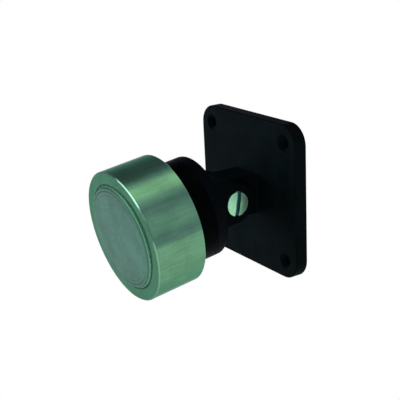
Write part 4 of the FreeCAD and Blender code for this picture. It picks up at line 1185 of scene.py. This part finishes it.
@dataclass
class Magnet(Assembly):
    """Turned pot and the core with its raised pole disc."""

    radius: float = 27.0
    bore: float = 22.0
    chamfer: float = 0.5
    edge_round: float = 0.12
    core_screw_seat: float = 5.6
    core_screw_hole: float = 3.1
    core_screw_thread: float = 3.05
    core_thread_end: float = 42.5
    flange_thread: float = 1.55
    flange_thread_end: float = 29.6
    core_radius: float = 12.0
    disc_back: float = 44.0
    disc_radius: float = 21.3
    disc_chamfer: float = 0.8
    root_round: float = 0.3
    steps: int = 288

    def build(self) -> None:
        """Turn both steel pieces."""
        self.pot()
        self.core()

    def pot(self) -> None:
        """Turn the pot and drill it."""
        back, front, cut = PLAN.housing_front, PLAN.pot_front, self.chamfer
        sunk = self.core_screw_seat - self.core_screw_hole
        pot = Form.lathe([
            (back, self.core_screw_seat, 0.0), (back, self.radius - cut, self.edge_round),
            (back + cut, self.radius, self.edge_round), (front - cut, self.radius, self.edge_round),
            (front, self.radius - cut, self.edge_round), (front, self.bore, self.edge_round),
            (PLAN.pot_floor, self.bore, self.root_round), (PLAN.pot_floor, self.core_screw_hole, 0.0),
            (back + sunk, self.core_screw_hole, 0.0)], steps=self.steps)
        threads = Form.pins(self.flange_thread, back - CLEAR, self.flange_thread_end, PLAN.screw_places())
        pot.cut(*threads, *PLAN.lead_cutters(back - CLEAR, PLAN.pot_floor + CLEAR))
        pot.finish("magnet_shell", Body.HEAD, "magnet_pot", "turned_steel", self.dress)

    def core(self) -> None:
        """Turn the core with the pole disc."""
        face, edge = PLAN.face_front, self.disc_chamfer
        core = Form.lathe([
            (PLAN.pot_floor, self.core_screw_thread, 0.0), (PLAN.pot_floor, self.core_radius, 0.0),
            (self.disc_back, self.core_radius, self.root_round),
            (self.disc_back, self.disc_radius, self.edge_round),
            (face - edge, self.disc_radius, self.edge_round),
            (face, self.disc_radius - edge, self.edge_round), (face, 0.0, 0.0),
            (self.core_thread_end, 0.0, 0.0), (self.core_thread_end, self.core_screw_thread, 0.0)],
            steps=self.steps)
        core.finish("pole_disc", Body.HEAD, "pole_core", "turned_steel_face", self.dress)


@dataclass
class HingeScrew(Assembly):
    """Slotted hinge screw with a low crowned head and a cut thread."""

    thread_start: float = -8.0
    end: float = -14.9
    pitch: float = 1.0
    thread_depth: float = 0.55
    thread_flats: int = 72
    levels_per_pitch: int = 12
    rim_level: float = 13.55
    crown: float = 0.45
    crown_steps: int = 10
    rim: float = 0.5
    rim_round: float = 0.35
    seat_round: float = 0.15
    slot_wide: float = 1.8
    slot_long: float = 15.3
    slot_deep: float = 1.9
    slot_turn: float = 18.0
    slot_round: float = 0.32

    def build(self) -> None:
        """Turn the screw, slot its head and cut its thread."""
        screw, head = PLAN.screw_radius, PLAN.head_radius
        crown_radius, top = head - self.rim, self.rim_level + self.crown
        ball = (crown_radius ** 2 + self.crown ** 2) / (2.0 * self.crown)
        arc = [crown_radius * (1.0 - step / self.crown_steps) for step in range(self.crown_steps + 1)]
        blank = Form.lathe([
            (self.thread_start, 0.0, 0.0), (self.thread_start, screw, 0.0),
            (PLAN.head_seat, screw, self.seat_round), (PLAN.head_seat, head, self.seat_round),
            (self.rim_level, head, self.rim_round),
            *((top - ball + math.sqrt(ball ** 2 - radius ** 2), radius, 0.0) for radius in arc)],
            Facing.RIGHT)
        slot = Form.loft(self.slot_outline(),
                         flared_mouth(top - self.slot_deep, top, self.slot_round), Facing.RIGHT)
        blank.join(self.threaded_end()).cut(slot)
        blank.finish("hinge_screw", Body.HEAD, "pivot_screw", "plated_screw", self.dress)

    def slot_outline(self) -> Outline:
        """Return the slot's outline, turned as the screw stands, for any inset."""
        upright = round_plate(self.slot_wide, self.slot_long, SMALLEST_ROUND)
        lean = Matrix.Rotation(-math.radians(self.slot_turn), 2)
        return lambda inset: [tuple(lean @ Vector(point)) for point in upright(inset)]

    def threaded_end(self) -> Form:
        """Return the threaded stretch, a helix of V-shaped grooves that runs out at both ends."""
        length = self.thread_start + self.rim - self.end
        levels = round(length / self.pitch * self.levels_per_pitch)
        shares = [flat / self.thread_flats for flat in range(self.thread_flats)]
        return Form.skin([[self.thread_point(length * level / levels, share) for share in shares]
                          for level in range(levels + 1)])

    def thread_point(self, in_from_end: float, share: float) -> Vector:
        """Find one point of the thread's surface.

        Args:
            in_from_end: distance from the screw's end.
            share: share of a turn round the axis.

        Returns:
            The point.
        """
        along, turn = self.end + in_from_end, math.tau * share
        groove = self.thread_depth * (1.0 - abs(2.0 * ((along / self.pitch - share) % 1.0) - 1.0))
        radius = PLAN.screw_radius - max(groove, self.rim - in_from_end, SMALLEST_ROUND)
        return Vector((along, radius * math.cos(turn), radius * math.sin(turn)))


@dataclass(frozen=True)
class Panel:
    """Flat panel that only mirroring surfaces see: a softbox or a flag."""

    name: str
    place: Triple
    width: float
    height: float
    level: float


@dataclass(frozen=True)
class Lamp:
    """Soft square lamp that mirroring surfaces don't see."""

    name: str
    place: Triple
    size: float
    power: float


@dataclass
class Studio:
    """White surroundings as in a light tent, a pale floor and the camera, in metres and degrees."""

    # Brightness of the surroundings on dull surfaces, fading towards the ceiling
    plain_level: float = 0.45
    ceiling_level: float = 0.03
    ceiling_from: float = 0.8
    floor_level: float = -0.6
    floor_size: float = 12.0
    floor_glow: float = 0.6
    floor_paper: float = 0.9
    floor_fade: Span = (0.35, 0.70)
    tent_radius: float = 0.55
    tent_reach: float = 6.0
    tent_sides: int = 180
    # Bright sheets are warmer than dim ones
    neutral_level: float = 0.6
    most_blue: float = 1.18
    warmth: float = 0.4
    camera_place: Triple = (0.282764, -0.208502, 0.111935)
    azimuth: float = 57.6724
    elevation: float = 18.4099
    roll: float = 2.9615
    lens: float = 77.25
    sensor: float = 36.0
    nearest: float = 0.01
    farthest: float = 20.0
    # Brightness of the tent by angle about the Y axis: left, floor, right, ceiling and left again
    tent: tuple[Span, ...] = (
        (-180, 0.45), (-151, 0.50), (-125, 0.50), (-86, 0.72), (-59, 0.80), (-25, 0.80),
        (-13, 0.78), (-9, 0.48), (4, 0.38), (15, 0.58), (29, 0.60), (41, 0.47), (53, 0.36),
        (65, 0.55), (76, 1.00), (89, 1.15), (100, 0.55), (110, 0.19), (124, 0.13), (136, 0.13),
        (148, 0.16), (160, 0.24), (171, 0.32), (180, 0.45))
    panels: tuple[Panel, ...] = (
        Panel("softbox", (-0.105, -0.435, 0.212), width=0.40, height=0.095, level=2.6),
        Panel("flag", (0.17, -0.41, -0.02), width=0.16, height=0.17, level=0.28))
    lamp_aim: Triple = (0.0, -0.03, 0.0)
    lamps: tuple[Lamp, ...] = (Lamp("lamp_left", (-0.6, -0.28, 0.03), size=0.4, power=6.0),
                               Lamp("lamp_right", (0.7, -0.5, -0.3), size=0.5, power=0.8))

    def build(self) -> None:
        """Set up the world, the floor, the tent, the lamps and the camera."""
        bpy.context.scene.view_settings.view_transform = "Standard"
        self.make_world()
        self.make_floor()
        self.make_tent()
        for panel in self.panels:
            self.make_panel(panel)
        for lamp in self.lamps:
            self.make_lamp(lamp)
        self.make_camera()

    @staticmethod
    def white_where_seen(wiring: Wiring, plain: Value) -> Socket:
        """Make a strength that is white to camera, mirrors and glass and plain to other rays.

        Args:
            wiring: the wiring of the world or of a material.
            plain: the strength for the other rays.

        Returns:
            The strength.
        """
        rays = wiring.add("ShaderNodeLightPath").outputs
        mirrored = wiring.maths("MAXIMUM", rays["Is Glossy Ray"], rays["Is Transmission Ray"])
        return wiring.spread(wiring.maths("MAXIMUM", rays["Is Camera Ray"], mirrored), 0.0, 1.0, plain)

    def make_world(self) -> None:
        """Make the white world, whose light on dull surfaces fades towards the ceiling."""
        world = bpy.data.worlds.new("white_surroundings")
        bpy.context.scene.world = world
        world.use_nodes = True
        world.node_tree.nodes.clear()
        wiring = Wiring(world.node_tree)
        up = wiring.parts(wiring.add("ShaderNodeTexCoord").outputs["Generated"])["Z"]
        plain = wiring.spread(up, 0.0, self.ceiling_from, self.plain_level, self.ceiling_level)
        white = wiring.add("ShaderNodeBackground", {
            "Color": grey(1.0), "Strength": self.white_where_seen(wiring, plain)})
        wiring.add("ShaderNodeOutputWorld", {"Surface": white.outputs[0]})

    @staticmethod
    def stage_object(name: str, points: Sequence[Sequence[float]], faces: Sequence[Sequence[int]],
                     unseen_by: Iterable[str] = ()) -> tuple[Wiring, Node]:
        """Add one object of the studio with an empty material.

        Args:
            name: name of the object and its material.
            points: corners in metres.
            faces: corner numbers of each face.
            unseen_by: the kinds of rays that pass it by.

        Returns:
            Its material's wiring and the material's output.
        """
        mesh = bpy.data.meshes.new(name)
        mesh.from_pydata(points, [], faces)
        item = new_object(name, mesh)
        for ray in unseen_by:
            setattr(item, f"visible_{ray}", False)
        material, wiring, output = new_material(f"{name}_surface")
        mesh.materials.append(material)
        return wiring, output

    def make_floor(self) -> None:
        """Make the pale floor, which takes the shadow and fades to white away from it."""
        half = self.floor_size / 2.0
        points = [(x * half, y * half, self.floor_level) for x, y in SQUARE]
        wiring, output = self.stage_object("floor", points, [range(len(SQUARE))])
        parts = wiring.parts(wiring.object_place())
        away = wiring.spread(wiring.hypotenuse(parts["X"], parts["Y"]), *self.floor_fade, self.floor_glow)
        paper = wiring.add("ShaderNodeBsdfDiffuse", {"Color": grey(self.floor_paper)}).outputs[0]
        white = wiring.shine(Strength=self.white_where_seen(wiring, self.plain_level))
        mixed = wiring.add("ShaderNodeMixShader", {0: away, 1: paper, 2: white})
        wiring.feed(output, {"Surface": mixed.outputs[0]})

    def make_tent(self) -> None:
        """Hang the tent's bright and dim sheets round the door holder, for mirrors only."""
        count = self.tent_sides
        ring = on_circle(self.tent_radius, (math.tau * side / count for side in range(count)))
        points = [(x, end, z) for end in (-self.tent_reach, self.tent_reach) for x, z in ring]
        faces = [(side, (side + 1) % count, count + (side + 1) % count, count + side)
                 for side in range(count)]
        wiring, output = self.stage_object("light_tent", points, faces, RAYS_NOT_MIRRORED)
        parts = wiring.parts(wiring.object_place())
        share = wiring.add("ShaderNodeMapRange", {
            "Value": wiring.maths("ARCTAN2", parts["Z"], parts["X"]),
            "From Min": -math.pi, "From Max": math.pi})
        ramp = wiring.add("ShaderNodeValToRGB", {"Fac": share.outputs["Result"]})
        stops = ramp.color_ramp.elements
        stops.remove(stops[-1])
        for index, (degrees, level) in enumerate(self.tent):
            place = degrees / math.degrees(math.tau) + 0.5
            stop = stops.new(place) if index else stops[0]
            stop.position, stop.color = place, self.sheet_colour(level)
        wiring.feed(output, {"Surface": wiring.shine(Color=ramp.outputs["Color"])})

    def sheet_colour(self, level: float) -> tuple[float, float, float, float]:
        """Return the colour of a sheet: bright sheets are warmer than dim ones."""
        blue = min(self.most_blue, (self.neutral_level / level) ** self.warmth)
        return level, level, level * blue, 1.0

    def make_panel(self, panel: Panel) -> None:
        """Hang one panel inside the tent, facing the door holder.

        Args:
            panel: where it hangs and how bright it is.
        """
        place = Vector(panel.place)
        turned = (-place).to_track_quat("Z", "Y")
        points = [place + turned @ Vector((x * panel.width / 2.0, y * panel.height / 2.0, 0.0))
                  for x, y in SQUARE]
        wiring, output = self.stage_object(panel.name, points, [range(len(SQUARE))], RAYS_NOT_MIRRORED)
        wiring.feed(output, {"Surface": wiring.shine(Strength=panel.level)})

    def make_lamp(self, lamp: Lamp) -> None:
        """Hang one soft lamp.

        Args:
            lamp: where it hangs, its size and its power.
        """
        light = bpy.data.lights.new(lamp.name, "AREA")
        light.size, light.energy = lamp.size, lamp.power
        item = new_object(lamp.name, light)
        item.location = lamp.place
        item.rotation_euler = (Vector(self.lamp_aim) - item.location).to_track_quat("-Z", "Y").to_euler()
        item.visible_glossy = False

    def make_camera(self) -> None:
        """Place the camera where the photograph was taken from."""
        azimuth, elevation = math.radians(self.azimuth), math.radians(self.elevation)
        back = Vector((math.sin(azimuth) * math.cos(elevation),
                       -math.cos(azimuth) * math.cos(elevation), math.sin(elevation)))
        right = (-back).cross(Vector((0.0, 0.0, 1.0))).normalized()
        down = (-back).cross(right)
        turn = math.radians(self.roll)
        across = right * math.cos(turn) + down * math.sin(turn)
        upwards = right * math.sin(turn) - down * math.cos(turn)
        lens = bpy.data.cameras.new("camera")
        lens.lens, lens.sensor_width = self.lens, self.sensor
        lens.clip_start, lens.clip_end = self.nearest, self.farthest
        camera = new_object("camera", lens)
        turned = Matrix((across, upwards, back)).transposed()
        camera.matrix_world = Matrix.Translation(self.camera_place) @ turned.to_4x4()
        bpy.context.scene.camera = camera


def dress_nodes(dress: Dress) -> None:
    """Give each carried-over solid the finish of its material slot.

    Args:
        dress: the finishes by slot.
    """
    slots = {part["node"]: part["material_slot"] for part in frame["record"]["subparts"]}
    for name, node in frame["nodes"].items():
        node.data.materials.clear()
        node.data.materials.append(dress[slots[name]])
        LOG.info("%s dressed as %s", name, slots[name])


def main() -> None:
    """Build the studio and dress the door holder."""
    logging.basicConfig(level=logging.INFO, format="%(message)s")
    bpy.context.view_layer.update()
    Studio().build()
    effects = Effects()
    dress = {slot: finish.build(effects) for slot, finish in FINISHES.items()}
    dress_nodes(dress)
    for assembly in (WallPlate, SwivelFork, RearHousing, Magnet, HingeScrew):
        assembly(dress).build()


if __name__ == "__main__":
    main()
